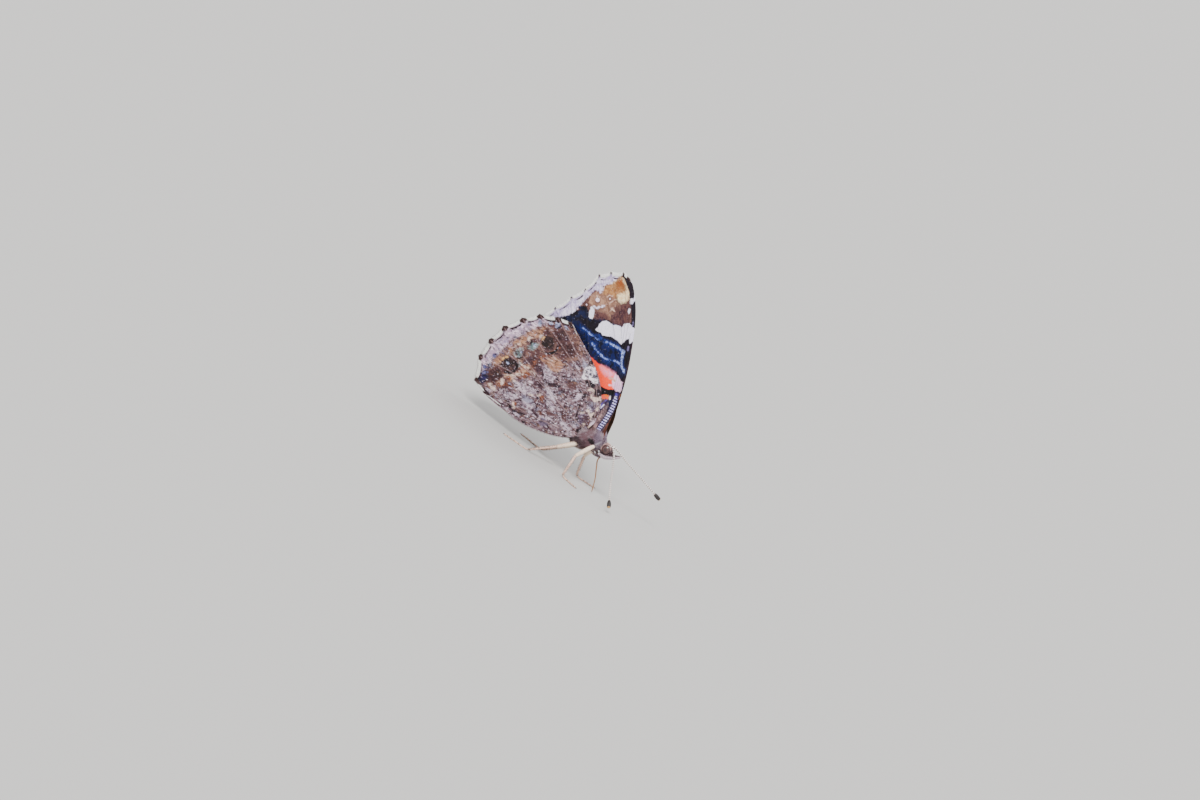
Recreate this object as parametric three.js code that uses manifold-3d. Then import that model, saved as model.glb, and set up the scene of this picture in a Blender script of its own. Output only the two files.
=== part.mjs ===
// A red admiral butterfly at rest, life size, standing on its four walking legs with its wings closed over
// its back. Millimetres and degrees. +X points forward, +Y to the animal's left and +Z up, and the feet stand
// on z = 0. Places on the body are given from the hinge of the forewings, as [forward, sideways, up].
import * as THREE from "three";
import { mergeVertices } from "three/addons/utils/BufferGeometryUtils.js";
import Module from "manifold-3d";

const wasm = await Module();
wasm.setup();

// Sizes shared by the whole animal
const gap = 0.3; // left between neighbouring pieces
const hingeHeight = 10.7; // forewing hinge above the ground
const ground = -hingeHeight;

// Body, seen from the side
const thorax = { x: -1.5, z: -1.8, length: 7.8, width: 5.2, height: 5.5, tilt: 20, front: 1.6, waist: -4.7 };
const abdomen = { from: [-4.4, -2.3], to: [-16.4, -4.6], radius: 1.9, waist: 1.5, tip: 0.55, rings: 8 };
const head = { x: 2.95, z: -1.65, length: 3.0, width: 2.6, height: 2.5 };
const eye = { x: 3.15, y: 1.1, z: -1.6, length: 1.9, width: 1.4, height: 2.1 };

// Wings
// A wing is drawn in its own plane from its hinge: reach in millimetres, and the angle from its long axis,
// positive towards the trailing edge. Veins run from the root to the margin, and some fork from a stem.
const membrane = 0.5;
// A vein's height above each face of the wing, its width, where it rises at the root, and how far it thins
// on its way out
const ridge = { outer: 0.17, inner: 0.09, width: 0.62, root: [0.04, 0.12], thinning: 0.6 };
const closed = { fore: 0.56, hind: 1.78 }; // from the animal's middle to the middle of each wing's thickness
// How the wings part towards their hinges
const fan = { apart: 1.2, height: 9, rear: [4, 22], rearShare: 0.7 };
const sunk = { depth: 0.9, share: 0.1 }; // how far a wing root turns in to the body, clear of the other wing
const leftBehind = 0.8; // the left wings are held this many degrees further back than the right ones

const forewing = {
  hinge: [0, 0],
  axis: 117,
  root: { out: -0.9, leading: -1.2, trailing: 1.5, freeBelow: [8, 9] },
  leading: { reach: 31.1, angle: -3.7, bow: -2.3, skew: 1.3 },
  trailing: { reach: 23.6, angle: 45.5, bow: 0.9 },
  veins: [
    { name: "subcosta", stem: "radius4", fork: 0.05, joinsEdge: 0.52 },
    { name: "radius1", stem: "radius4", fork: 0.3, joinsEdge: 0.68 },
    { name: "radius3", stem: "radius4", fork: 0.5, joinsEdge: 0.88 },
    { name: "radius4", reach: 32.4, angle: 0, bow: -1.9, skew: 1.2 },
    { name: "radius5", reach: 32.3, angle: 4.6, stem: "radius4", fork: 0.62 },
    { name: "media1", reach: 31.7, angle: 8.9, stem: "radius4", fork: 0.47 },
    { name: "media2", reach: 29.0, angle: 14.6, bow: 0.3, starts: 0.47 },
    { name: "media3", reach: 27.9, angle: 20.8, bow: 1.1 },
    { name: "cubitus1", reach: 26.8, angle: 28.6, stem: "media3", fork: 0.42 },
    { name: "cubitus2", reach: 26.4, angle: 36.3, stem: "media3", fork: 0.28 },
    { name: "anal", reach: 24.8, angle: 42.6, bow: 1.0 },
  ],
  cellEnd: { from: "media1", to: "media3", at: 0.47 },
  rows: [0, 0.05, 0.11, 0.19, 0.28, 0.38, 0.47, 0.56, 0.65, 0.74, 0.83, 0.92, 1],
  scallop: 0.2,
};

const hindwing = {
  hinge: [-2.2, -0.8],
  axis: 166,
  root: { out: 0, leading: -1.9, trailing: 1.8, freeBelow: [-1.2, 0.4] },
  leading: { reach: 18.7, angle: -34.7, bow: -2.75, skew: 0.8, roundness: 2 },
  trailing: { reach: 18.2, angle: 34.2, bow: 1.8 },
  veins: [
    { name: "radius1", reach: 21.9, angle: -31.6, bow: -2.4, skew: 0.85, roundness: 2 },
    { name: "sector", reach: 23.5, angle: -25.2, stem: "radius1", fork: 0.17 },
    { name: "media1", reach: 25.3, angle: -17.3, stem: "sector", fork: 0.36 },
    { name: "media2", reach: 26.2, angle: -9.4, bow: -0.4, starts: 0.45 },
    { name: "media3", reach: 27.1, angle: -0.6, bow: 0.8 },
    { name: "cubitus1", reach: 27.2, angle: 7.6, stem: "media3", fork: 0.44 },
    { name: "cubitus2", reach: 27.2, angle: 15.9, stem: "media3", fork: 0.3 },
    { name: "anal2", reach: 25.8, angle: 26.2, bow: 1.2 },
    { name: "anal3", reach: 23.1, angle: 30.1, bow: 1.9 },
  ],
  cellEnd: { from: "media1", to: "media3", at: 0.45 },
  rows: [0, 0.06, 0.13, 0.22, 0.33, 0.45, 0.55, 0.65, 0.75, 0.84, 0.93, 1],
  scallop: 0.2,
};

// Legs, on the left side; the right side mirrors them
const legs = {
  midleg: {
    hip: [0.8, 1.7, -2.1],
    knee: [-0.8, 3.5, -5.95],
    ankle: [-0.3, 5.5, -10.3],
    toe: [3.9, 7.6, -10.5],
  },
  hindleg: {
    hip: [-2.3, 1.2, -3.6],
    knee: [-5.0, 3.8, -6.7],
    ankle: [-8.9, 5.3, -10.3],
    toe: [-14.9, 6.8, -10.5],
  },
};
const legWidth = { hip: 0.95, knee: 0.7, ankle: 0.55, foot: 0.55, toe: 0.5 };
const foreleg = { path: [[0.7, 0.9, -2.9], [1.5, 1.75, -3.75], [2.9, 2.0, -3.5]], width: 0.62, tip: 0.5 };

// Feelers and mouthparts
const palp = {
  path: [[2.2, 1.05, -3.15], [3.7, 1.0, -3.0], [5.0, 0.82, -2.25], [6.0, 0.68, -1.45]],
  width: 1.2,
  tip: 0.5,
};
const antenna = {
  left: [
    [2.9, 0.5, -1.2], [3.7, 0.9, -0.65], [4.6, 1.4, -0.8],
    [7.5, 3.2, -1.9], [11.4, 5.9, -3.2], [16, 8.8, -4.8],
  ],
  right: [
    [2.9, -0.5, -1.2], [3.7, -0.9, -0.5], [5, -1.8, -1.2],
    [7.2, -4, -3.75], [9, -6, -6.1], [12, -9, -9.6],
  ],
  width: 0.5,
  club: 2.1,
  clubWidth: 0.95,
};
const proboscis = {
  path: [[3.0, 0, -2.3], [2.7, 0, -3.4], [2.6, 0, -4.4], [3.3, 0, -5.8], [4.4, 0, -7.8], [5.4, 0, -10.35]],
  width: 0.55,
  tip: 0.5,
};

const { degToRad, smoothstep, lerp } = THREE.MathUtils;

const finish = (color, roughness) => new THREE.MeshStandardMaterial({ color, roughness, metalness: 0 });
const materials = {
  forewing: finish(0x4a3530, 0.8),
  hindwing: finish(0x6b5548, 0.85),
  fur: finish(0x574740, 0.95),
  leg: finish(0xd8c0a6, 0.7),
  eye: finish(0x4a261c, 0.25),
  antenna: finish(0x2b2422, 0.5),
  proboscis: finish(0x6b4a2c, 0.45),
};

const butterfly = new THREE.Group();

function add(name, solid, material) {
  const pieces = solid.decompose().sort((a, b) => b.volume() - a.volume());
  const { vertProperties, triVerts } = pieces[0].getMesh();
  const geometry = new THREE.BufferGeometry();
  geometry.setAttribute("position", new THREE.BufferAttribute(new Float32Array(vertProperties), 3));
  geometry.setIndex(new THREE.BufferAttribute(new Uint32Array(triVerts), 1));
  const mesh = new THREE.Mesh(geometry, material);
  mesh.name = name;
  butterfly.add(mesh);
}

function solidOf(geometry) {
  const bare = geometry.clone();
  bare.deleteAttribute("normal");
  bare.deleteAttribute("uv");
  const merged = mergeVertices(bare, 1e-4);
  return new wasm.Manifold(
    new wasm.Mesh({
      numProp: 3,
      vertProperties: new Float32Array(merged.attributes.position.array),
      triVerts: new Uint32Array(merged.index.array),
    }),
  );
}

// Simple forms
const forward = new THREE.Vector3(1, 0, 0);
const backward = new THREE.Vector3(-1, 0, 0);
const upward = new THREE.Vector3(0, 0, 1);
const downward = new THREE.Vector3(0, 0, -1);
const vector = (p) => new THREE.Vector3(...p);

// An egg shape, tilted nose up
function ellipsoid({ x, y = 0, z, length, width, height, tilt = 0 }, grow = 0, around = 20, down = 14) {
  const geometry = new THREE.SphereGeometry(1, around, down)
    .rotateX(Math.PI / 2)
    .scale(length / 2 + grow, width / 2 + grow, height / 2 + grow)
    .rotateY(-degToRad(tilt))
    .translate(x, y, z);
  return solidOf(geometry);
}

// Everything that lies beyond a point in a direction
function beyond(point, direction) {
  const size = 40;
  const turn = new THREE.Quaternion().setFromUnitVectors(upward, direction.clone().normalize());
  const geometry = new THREE.BoxGeometry(size, size, size)
    .translate(0, 0, size / 2)
    .applyQuaternion(turn)
    .translate(point.x, point.y, point.z);
  return solidOf(geometry);
}

// A closed tube along points, with its radius given at each share of its length
function tube(points, radius, sides, steps) {
  const curve = new THREE.CatmullRomCurve3(points.map(vector), false, "centripetal");
  const position = [];
  const index = [];
  for (let i = 0; i <= steps; i++) {
    const t = i / steps;
    const centre = curve.getPointAt(t);
    const tangent = curve.getTangentAt(t);
    const across = new THREE.Vector3(-tangent.y, tangent.x, 0);
    if (across.length() < 0.05) across.set(0, 1, 0);
    across.normalize();
    const up = new THREE.Vector3().crossVectors(tangent, across);
    for (let k = 0; k < sides; k++) {
      const turn = ((k + 0.5) / sides) * 2 * Math.PI;
      const p = centre
        .clone()
        .addScaledVector(across, Math.cos(turn) * radius(t))
        .addScaledVector(up, Math.sin(turn) * radius(t));
      position.push(p.x, p.y, p.z);
    }
  }
  for (let i = 0; i < steps; i++)
    for (let k = 0; k < sides; k++) {
      const next = (k + 1) % sides;
      const [a, b, c, d] = [i * sides + k, i * sides + next, (i + 1) * sides + k, (i + 1) * sides + next];
      index.push(a, b, d, a, d, c);
    }
  const last = steps * sides;
  for (let k = 1; k < sides - 1; k++) {
    index.push(0, k + 1, k);
    index.push(last, last + k, last + k + 1);
  }
  const geometry = new THREE.BufferGeometry();
  geometry.setAttribute("position", new THREE.Float32BufferAttribute(position, 3));
  geometry.setIndex(index);
  return solidOf(geometry);
}

const mirrored = ([x, y, z]) => [x, -y, z];
const tapered = (from, to) => (t) => lerp(from, to, t) / 2;

// Body
const thoraxRoom = ellipsoid(thorax, gap);
const headRoom = ellipsoid(head, gap);

function body() {
  const front = new THREE.Vector3(thorax.front, 0, 0);
  const waist = new THREE.Vector3(thorax.waist, 0, 0);
  const chest = ellipsoid(thorax).subtract(beyond(front, forward)).subtract(beyond(waist, backward));
  add("thorax", chest, materials.fur);

  const { from, to, radius, rings } = abdomen;
  const swell = (t) => {
    const fullness = Math.sqrt(1 - smoothstep(t, 0.45, 1) * 0.9);
    const taper = lerp(abdomen.waist, radius, smoothstep(t, 0, 0.35)) * fullness;
    return Math.max(taper, abdomen.tip) * (1 + 0.03 * Math.cos(t * rings * 2 * Math.PI));
  };
  const tail = tube([[from[0], 0, from[1]], [to[0], 0, to[1]]], swell, 16, rings * 3);
  add("abdomen", tail.subtract(beyond(waist.addScaledVector(backward, gap), forward)), materials.fur);

  const sockets = [1, -1].map((side) => ellipsoid({ ...eye, y: side * eye.y }, gap, 16, 12));
  const skull = ellipsoid(head, 0, 18, 12).subtract(beyond(front.addScaledVector(forward, gap), backward));
  add("head", skull.subtract(sockets[0]).subtract(sockets[1]), materials.fur);
}

// Legs
// The plane in which two leg pieces face each other at a joint, as the direction out of the first one
function mitre(before, joint, after) {
  const inward = joint.clone().sub(before).normalize();
  const outward = after.clone().sub(joint).normalize();
  return inward.add(outward).normalize();
}

function leg(name, side) {
  const place = (p) => vector(side > 0 ? p : mirrored(p));
  const [hip, knee, ankle, toe] = ["hip", "knee", "ankle", "toe"].map((joint) => place(legs[name][joint]));
  const suffix = side > 0 ? "left" : "right";
  const kneePlane = mitre(hip, knee, ankle);
  const anklePlane = mitre(knee, ankle, toe);
  const segment = (a, b, from, to) => {
    const along = b.clone().sub(a).normalize();
    const [start, end] = [a.clone().addScaledVector(along, -0.5), b.clone().addScaledVector(along, 0.5)];
    return tube([start.toArray(), end.toArray()], tapered(from, to), 8, 1);
  };
  const shortOf = (joint, plane) => beyond(joint.clone().addScaledVector(plane, -gap / 2), plane);
  const femur = segment(hip, knee, legWidth.hip, legWidth.knee);
  const thigh = femur.subtract(shortOf(knee, kneePlane)).subtract(thoraxRoom);
  add(`${name}_${suffix}_femur`, thigh, materials.leg);

  const tibia = segment(knee, ankle, legWidth.knee, legWidth.ankle);
  const trimmed = tibia.subtract(shortOf(knee, kneePlane.clone().negate()));
  add(`${name}_${suffix}_tibia`, trimmed.subtract(shortOf(ankle, anklePlane)), materials.leg);

  const foot = segment(ankle, toe, legWidth.foot, legWidth.toe);
  const free = foot.subtract(shortOf(ankle, anklePlane.clone().negate()));
  const belowGround = beyond(new THREE.Vector3(0, 0, ground), downward);
  add(`${name}_${suffix}_tarsus`, free.subtract(belowGround), materials.leg);
}

// Feelers and mouthparts
function mouthparts(side) {
  const suffix = side > 0 ? "left" : "right";
  const place = (path) => path.map((p) => (side > 0 ? p : mirrored(p)));
  const lip = tube(place(palp.path), (t) => lerp(palp.width, palp.tip, t * t) / 2, 8, 8);
  const eyeRoom = ellipsoid({ ...eye, y: side * eye.y }, gap, 16, 12);
  add(`palp_${suffix}`, lip.subtract(headRoom).subtract(eyeRoom), materials.fur);
  add(`eye_${suffix}`, ellipsoid({ ...eye, y: side * eye.y }, 0, 16, 12), materials.eye);

  const arm = tube(place(foreleg.path), tapered(foreleg.width, foreleg.tip), 8, 6);
  add(`foreleg_${suffix}`, arm.subtract(thoraxRoom).subtract(headRoom), materials.leg);

  const path = antenna[suffix];
  const curve = new THREE.CatmullRomCurve3(path.map(vector), false, "centripetal");
  const share = 1 - antenna.club / curve.getLength();
  const neck = curve.getPointAt(share);
  const along = curve.getTangentAt(share);
  const swell = (t) => {
    const out = Math.max(0, (t - share) / (1 - share));
    const knob = Math.sqrt(Math.max(0, 1 - ((out - 0.55) / 0.55) ** 2));
    return out > 0 ? Math.max(antenna.width, antenna.clubWidth * knob) / 2 : antenna.width / 2;
  };
  const whole = tube(path, swell, 7, 26);
  const clubSide = beyond(neck.clone().addScaledVector(along, gap / 2), along.clone().negate());
  const shaftSide = beyond(neck.clone().addScaledVector(along, -gap / 2), along);
  add(`antenna_${suffix}`, whole.subtract(shaftSide).subtract(headRoom).subtract(eyeRoom), materials.antenna);
  add(`antenna_club_${suffix}`, whole.subtract(clubSide), materials.antenna);
}

// Wings
const polar = (reach, angle) =>
  new THREE.Vector2(reach * Math.cos(degToRad(angle)), reach * Math.sin(degToRad(angle)));

// A line from a to b whose middle is moved by bow towards the trailing edge. Skew moves the bow outwards, and
// roundness makes it fuller towards the ends
function bowed(a, b, { bow, skew = 1, roundness = 2.6 }, t) {
  const along = b.clone().sub(a).normalize();
  const aside = bow * (1 - Math.abs(2 * t ** skew - 1) ** roundness);
  return a.clone().lerp(b, t).add(new THREE.Vector2(-along.y, along.x).multiplyScalar(aside));
}

// Where both edges and each vein run, each a function from the share of the way out to a point in the wing's
// plane
function wingLines({ root, veins, leading, trailing }) {
  const packed = 0.42; // from a stem to a vein that still lies along it
  const spacing = 1 / (veins.length + 1);
  const rootAt = (share) => new THREE.Vector2(root.out, lerp(root.leading, root.trailing, share));
  const edge = (side, share) => (t) => bowed(rootAt(share), polar(side.reach, side.angle), side, t);
  const frontEdge = edge(leading, 0);
  const rank = new Map(veins.map((vein, k) => [vein.name, k]));
  const lineOf = (vein) => {
    const place = rank.get(vein.name);
    const own = rootAt((place + 1) * spacing);
    if (!vein.stem) return (t) => bowed(own, polar(vein.reach, vein.angle), vein, t);
    const stem = lineOf(veins[rank.get(vein.stem)]);
    const steps = place - rank.get(vein.stem);
    const beside = (t) => {
      const atRoot = (root.trailing - root.leading) * spacing;
      return stem(t).add(new THREE.Vector2(0, steps * lerp(atRoot, packed, smoothstep(t, 0, 0.15))));
    };
    if (vein.joinsEdge) {
      const besideEdge = (t) => {
        const inwards = stem(t).sub(frontEdge(t));
        return frontEdge(t).addScaledVector(inwards.normalize(), packed * (place + 1));
      };
      return (t) => beside(t).lerp(besideEdge(t), smoothstep(t, vein.fork, vein.joinsEdge));
    }
    const leaves = beside(vein.fork);
    const tip = polar(vein.reach, vein.angle);
    const bend = leaves.clone().add(stem(lerp(vein.fork, 1, 0.3)).sub(stem(vein.fork)));
    return (t) => {
      if (t <= vein.fork) return beside(t);
      const share = (t - vein.fork) / (1 - vein.fork);
      return leaves.clone().lerp(bend, share).lerp(bend.clone().lerp(tip, share), share);
    };
  };
  return [frontEdge, ...veins.map(lineOf), edge(trailing, 1)];
}

// Lines from root to margin that carry the wing's surface, each with its height above the membrane: a vein
// has a raised line between two flanks, and one more line lies midway to the next vein
function wingColumns(wing) {
  const lines = wingLines(wing);
  const columns = [];
  const nearly = 0.01;
  const rank = (name) => wing.veins.findIndex((vein) => vein.name === name) + 1;
  const { at: endsAt, from, to } = wing.cellEnd;
  const cellEnd = (place, t) => {
    const crosses = place >= rank(from) && place <= rank(to) && Math.abs(t - endsAt) < nearly;
    return crosses ? 0.6 * (1 - ridge.thinning * t) : 0;
  };
  const flank = (line, other) => (t) => {
    const away = other(t).sub(line(t));
    return line(t).addScaledVector(away, Math.min(0.32, ridge.width / 2 / away.length()));
  };
  lines.forEach((line, k) => {
    const vein = wing.veins[k - 1];
    if (vein) {
      const starts = vein.starts ?? (vein.joinsEdge ? 0 : (vein.fork ?? 0));
      const ends = vein.joinsEdge ?? 2;
      const present = (t) => t >= starts - nearly && t < ends;
      const raised = (t) => (present(t) ? smoothstep(t, ...ridge.root) - ridge.thinning * t : 0);
      columns.push({ line: flank(line, lines[k - 1]), height: (t) => cellEnd(k - 0.5, t) });
      columns.push({ line, height: (t) => Math.max(raised(t), cellEnd(k, t), 0) });
      columns.push({ line: flank(line, lines[k + 1]), height: (t) => cellEnd(k + 0.5, t) });
    } else {
      columns.push({ line, height: () => 0 });
    }
    if (k === lines.length - 1) return;
    const meetsMargin = k > 0 && !wing.veins[k - 1].joinsEdge;
    const pull = (t) => (meetsMargin ? (wing.scallop / wing.leading.reach) * smoothstep(t, 0.86, 1) : 0);
    const middle = (t) => line(t).add(lines[k + 1](t)).multiplyScalar(0.5 * (1 - pull(t)));
    columns.push({ line: middle, height: (t) => cellEnd(k + 0.5, t) });
  });
  return columns;
}

// How far the wings stand from the animal's middle beyond their closed distance
function parted(x, z) {
  const rear = 1 - fan.rearShare * smoothstep(-x, ...fan.rear);
  return fan.apart * (1 - smoothstep(z, 0, fan.height)) * rear;
}

function wingSolid(wing, distance, side) {
  const columns = wingColumns(wing);
  const { rows, hinge } = wing;
  const axis = degToRad(wing.axis + (side > 0 ? leftBehind : 0));
  const position = [];
  const index = [];
  const count = columns.length;
  for (const face of [1, -1])
    for (const t of rows)
      for (const { line, height } of columns) {
        const p = line(t).rotateAround(new THREE.Vector2(), axis);
        const [x, z] = [p.x + hinge[0], p.y + hinge[1]];
        const low = 1 - smoothstep(z, ...wing.root.freeBelow);
        const turnedIn = sunk.depth * (1 - smoothstep(t, 0, sunk.share)) * low;
        const half = membrane / 2 + height(t) * (face > 0 ? ridge.outer : ridge.inner);
        const y = distance + parted(x, z) - turnedIn + face * half;
        position.push(x, side * y, z);
      }
  const faceSize = count * rows.length;
  const quad = (a, b, c, d) => (side > 0 ? index.push(a, b, c, a, c, d) : index.push(a, c, b, a, d, c));
  for (let i = 0; i < rows.length - 1; i++)
    for (let k = 0; k < count - 1; k++) {
      const [a, b] = [i * count + k, i * count + k + 1];
      quad(a, b, b + count, a + count);
      quad(faceSize + a + count, faceSize + b + count, faceSize + b, faceSize + a);
    }
  const rim = (a, b) => quad(a, b, b + faceSize, a + faceSize);
  for (let k = 0; k < count - 1; k++) {
    rim(k + 1, k);
    rim((rows.length - 1) * count + k, (rows.length - 1) * count + k + 1);
  }
  for (let i = 0; i < rows.length - 1; i++) {
    rim(i * count, (i + 1) * count);
    rim((i + 2) * count - 1, (i + 1) * count - 1);
  }
  const geometry = new THREE.BufferGeometry();
  geometry.setAttribute("position", new THREE.Float32BufferAttribute(position, 3));
  geometry.setIndex(index);
  return solidOf(geometry).subtract(thoraxRoom);
}

body();
for (const side of [1, -1]) {
  const suffix = side > 0 ? "left" : "right";
  mouthparts(side);
  for (const name of Object.keys(legs)) leg(name, side);
  add(`forewing_${suffix}`, wingSolid(forewing, closed.fore, side), materials.forewing);
  add(`hindwing_${suffix}`, wingSolid(hindwing, closed.hind, side), materials.hindwing);
}
const tongue = tube(proboscis.path, tapered(proboscis.width, proboscis.tip), 8, 12);
add("proboscis", tongue.subtract(headRoom), materials.proboscis);

// Stand the feet on z = 0, with the origin under the middle of the animal's length and width
const centre = new THREE.Box3().setFromObject(butterfly).getCenter(new THREE.Vector3());
butterfly.position.set(-centre.x, -centre.y, hingeHeight);

export default butterfly;
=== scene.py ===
from math import cos, pi, radians, sin
import bpy
import numpy as np
from mathutils import Matrix, Vector


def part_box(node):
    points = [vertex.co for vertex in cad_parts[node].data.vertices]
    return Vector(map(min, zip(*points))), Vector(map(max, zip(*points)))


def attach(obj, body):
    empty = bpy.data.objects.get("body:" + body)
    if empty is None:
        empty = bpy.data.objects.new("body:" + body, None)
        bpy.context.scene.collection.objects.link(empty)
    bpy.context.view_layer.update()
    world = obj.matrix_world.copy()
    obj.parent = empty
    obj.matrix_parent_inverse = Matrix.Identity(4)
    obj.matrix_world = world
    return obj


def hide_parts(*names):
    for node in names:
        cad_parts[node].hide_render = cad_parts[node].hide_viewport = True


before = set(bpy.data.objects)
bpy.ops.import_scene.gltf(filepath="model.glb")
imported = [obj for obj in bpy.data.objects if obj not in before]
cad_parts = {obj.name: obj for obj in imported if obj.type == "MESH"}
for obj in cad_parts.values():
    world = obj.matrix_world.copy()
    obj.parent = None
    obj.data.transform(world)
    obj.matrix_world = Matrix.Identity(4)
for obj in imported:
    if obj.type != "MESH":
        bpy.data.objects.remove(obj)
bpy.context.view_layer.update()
print("loaded", len(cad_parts), "solids")

# All lengths below are millimetres from the forewing hinge: forward, to the animal's left, up
mm = 0.001
hingeHeight = 10.7
thoraxFront = 1.6
thoraxLow, thoraxHigh = (Vector(corner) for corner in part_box("thorax"))
thoraxMiddle = (thoraxLow.y + thoraxHigh.y) / 2
hingeAt = np.array([thoraxHigh.x - thoraxFront * mm, thoraxMiddle, hingeHeight * mm])
colourDepth = {"contrast": 1.2, "richness": 1.12}


def tint(red, green, blue):
    # a colour as it looks on a screen, deepened a little for the bright light of the studio
    linear = np.array([((part / 255 + 0.055) / 1.055) ** 2.4 for part in (red, green, blue)])
    linear = linear ** colourDepth["contrast"]
    grey = linear @ (0.21, 0.72, 0.07)
    return (*np.clip(grey + (linear - grey) * colourDepth["richness"], 0, 1).tolist(), 1.0)


# Shader helpers
class Wire:
    # an output socket that sums can be written with
    def __init__(self, finish, socket):
        self.finish = finish
        self.socket = socket

    def work(self, operation, first, second):
        return self.finish.node("ShaderNodeMath", {"operation": operation}, {0: first, 1: second})

    def __add__(self, other):
        return self.work("ADD", self, other)

    def __sub__(self, other):
        return self.work("SUBTRACT", self, other)

    def __rsub__(self, other):
        return self.work("SUBTRACT", other, self)

    def __mul__(self, other):
        return self.work("MULTIPLY", self, other)

    __radd__ = __add__
    __rmul__ = __mul__


class Finish:
    # a material and its nodes
    def __init__(self, name, **constants):
        self.material = bpy.data.materials.new(name)
        self.material.use_nodes = True
        self.tree = self.material.node_tree
        self.shader = self.tree.nodes["Principled BSDF"]
        for socket, value in constants.items():
            self.shader.inputs[socket.replace("_", " ")].default_value = value

    def node(self, kind, settings=None, sockets=None, output=0):
        made = self.tree.nodes.new(kind)
        for setting, value in (settings or {}).items():
            setattr(made, setting, value)
        for socket, value in (sockets or {}).items():
            self.feed(made.inputs[socket], value)
        return Wire(self, made.outputs[output])

    def feed(self, target, value):
        if isinstance(value, Wire):
            self.tree.links.new(value.socket, target)
        else:
            target.default_value = value

    def give(self, socket, value):
        self.feed(self.shader.inputs[socket], value)

    def field(self, name, output=2):
        return self.node("ShaderNodeAttribute", {"attribute_name": name}, output=output)

    def blend(self, under, over, mask, mode="MIX"):
        # a plain colour is given as it looks on a screen
        under, over = (tint(*part) if isinstance(part, tuple) else part for part in (under, over))
        settings = {"data_type": "RGBA", "blend_type": mode}
        return self.node("ShaderNodeMix", settings, {0: mask, 6: under, 7: over}, output=2)

    def darken(self, colour, shade):
        value = self.node("ShaderNodeCombineXYZ", sockets={0: shade, 1: shade, 2: shade})
        return self.blend(colour, value, 1.0, "MULTIPLY")

    def stretch(self, vector, factors):
        return self.node("ShaderNodeVectorMath", {"operation": "MULTIPLY"}, {0: vector, 1: factors})

    def noise(self, vector, scale, detail=2.0, roughness=0.5):
        sockets = {"Vector": vector, "Scale": scale, "Detail": detail, "Roughness": roughness}
        return self.node("ShaderNodeTexNoise", sockets=sockets)

    def cells(self, vector, scale):
        return self.node("ShaderNodeTexVoronoi", sockets={"Vector": vector, "Scale": scale})

    def ramp(self, value, low, high):
        # 0 at low and 1 at high, held beyond them
        return self.node("ShaderNodeMapRange", {"clamp": True}, {0: value, 1: low, 2: high})

    def bump(self, height, depth, strength=1.0):
        sockets = {"Height": height, "Distance": depth, "Strength": strength}
        self.give("Normal", self.node("ShaderNodeBump", sockets=sockets))

    def objectPlace(self):
        place = self.node("ShaderNodeTexCoord", output=3)
        return self.stretch(place, (1 / mm, 1 / mm, 1 / mm))


# Mesh helpers
fieldKinds = {1: ("FLOAT", "value"), 3: ("FLOAT_VECTOR", "vector"), 4: ("FLOAT_COLOR", "color")}


def makePiece(name, points, faces, finishes, stands=(), fields=None, which=None, patch=None):
    # stands are the solids that it takes the place of, and which is the finish of each face
    mesh = bpy.data.meshes.new(name)
    corners = np.asarray(points, float) * mm + hingeAt
    mesh.from_pydata(corners.tolist(), [], faces if isinstance(faces, list) else faces.tolist())
    mesh.shade_smooth()
    for finish in finishes:
        mesh.materials.append(finish.material)
    if which is not None:
        mesh.polygons.foreach_set("material_index", np.asarray(which, dtype=np.int32))
    for field, values in (fields or {}).items():
        values = np.asarray(values, dtype=np.float32)
        kind, entry = fieldKinds[values.size // len(values)]
        mesh.attributes.new(field, kind, "POINT").data.foreach_set(entry, values.ravel())
    if patch is not None:
        corners = np.empty(len(mesh.loops), dtype=np.int32)
        mesh.loops.foreach_get("vertex_index", corners)
        layer = mesh.uv_layers.new(name="OFBake")
        layer.data.foreach_set("uv", np.asarray(patch, dtype=np.float32)[corners].ravel())
    mesh.update()
    piece = bpy.data.objects.new(name, mesh)
    bpy.context.scene.collection.objects.link(piece)
    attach(piece, "root")
    if stands:
        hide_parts(*stands)


def sideName(side):
    return "left" if side > 0 else "right"


def mirrorPath(path, side):
    return np.asarray(path, float) * (1, side, 1)


def lerp(a, b, t):
    return a + (b - a) * t


def smoothstep(x, low, high):
    t = np.clip((np.asarray(x, float) - low) / (high - low), 0, 1)
    return t * t * (3 - 2 * t)


def distanceAlong(points, power=1):
    return np.r_[0, np.cumsum(np.linalg.norm(np.diff(points, axis=0), axis=1) ** power)]


def sampleAt(path, steps, at):
    return np.stack([np.interp(at, steps, path[:, k]) for k in range(path.shape[1])], 1)


def roundTurn(count):
    return np.arange(count) / count * 2 * pi


def gridFaces(rows, columns, start=0, flip=False, closed=False):
    across = columns if closed else columns - 1
    i, k = np.meshgrid(np.arange(rows - 1), np.arange(across), indexing="ij")
    a = start + i * columns + k
    b = start + i * columns + (k + 1) % columns
    quads = np.stack([a, b, b + columns, a + columns], -1).reshape(-1, 4)
    return quads[:, ::-1] if flip else quads


def tubeFaces(rows, sides):
    # closed round and at both ends
    faces = gridFaces(rows, sides, closed=True).tolist()
    faces.append(list(range(sides))[::-1])
    faces.append([(rows - 1) * sides + k for k in range(sides)])
    return faces


# Camera, floor and light
studio = {
    "turn": 12, "height": 8, "roll": 35, "distance": 2.0, "lens": 300,
    "aim": (0.0, -2.0, 0.0), "aside": 0.5, "above": 6.8,
    "floor": tint(202, 200, 197), "floorRadius": 6, "world": tint(240, 242, 245), "worldLight": 1.05,
    # the way each light comes from (aside, above, towards the camera), its strength and its spread
    "lights": {
        "key": ((-0.3, 0.8, 1.0), 3.8, 25),
        "fill": ((0.9, 0.4, 0.7), 0.9, 90),
        "rim": ((0.2, 0.9, -0.8), 1.0, 40),
    },
}


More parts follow.
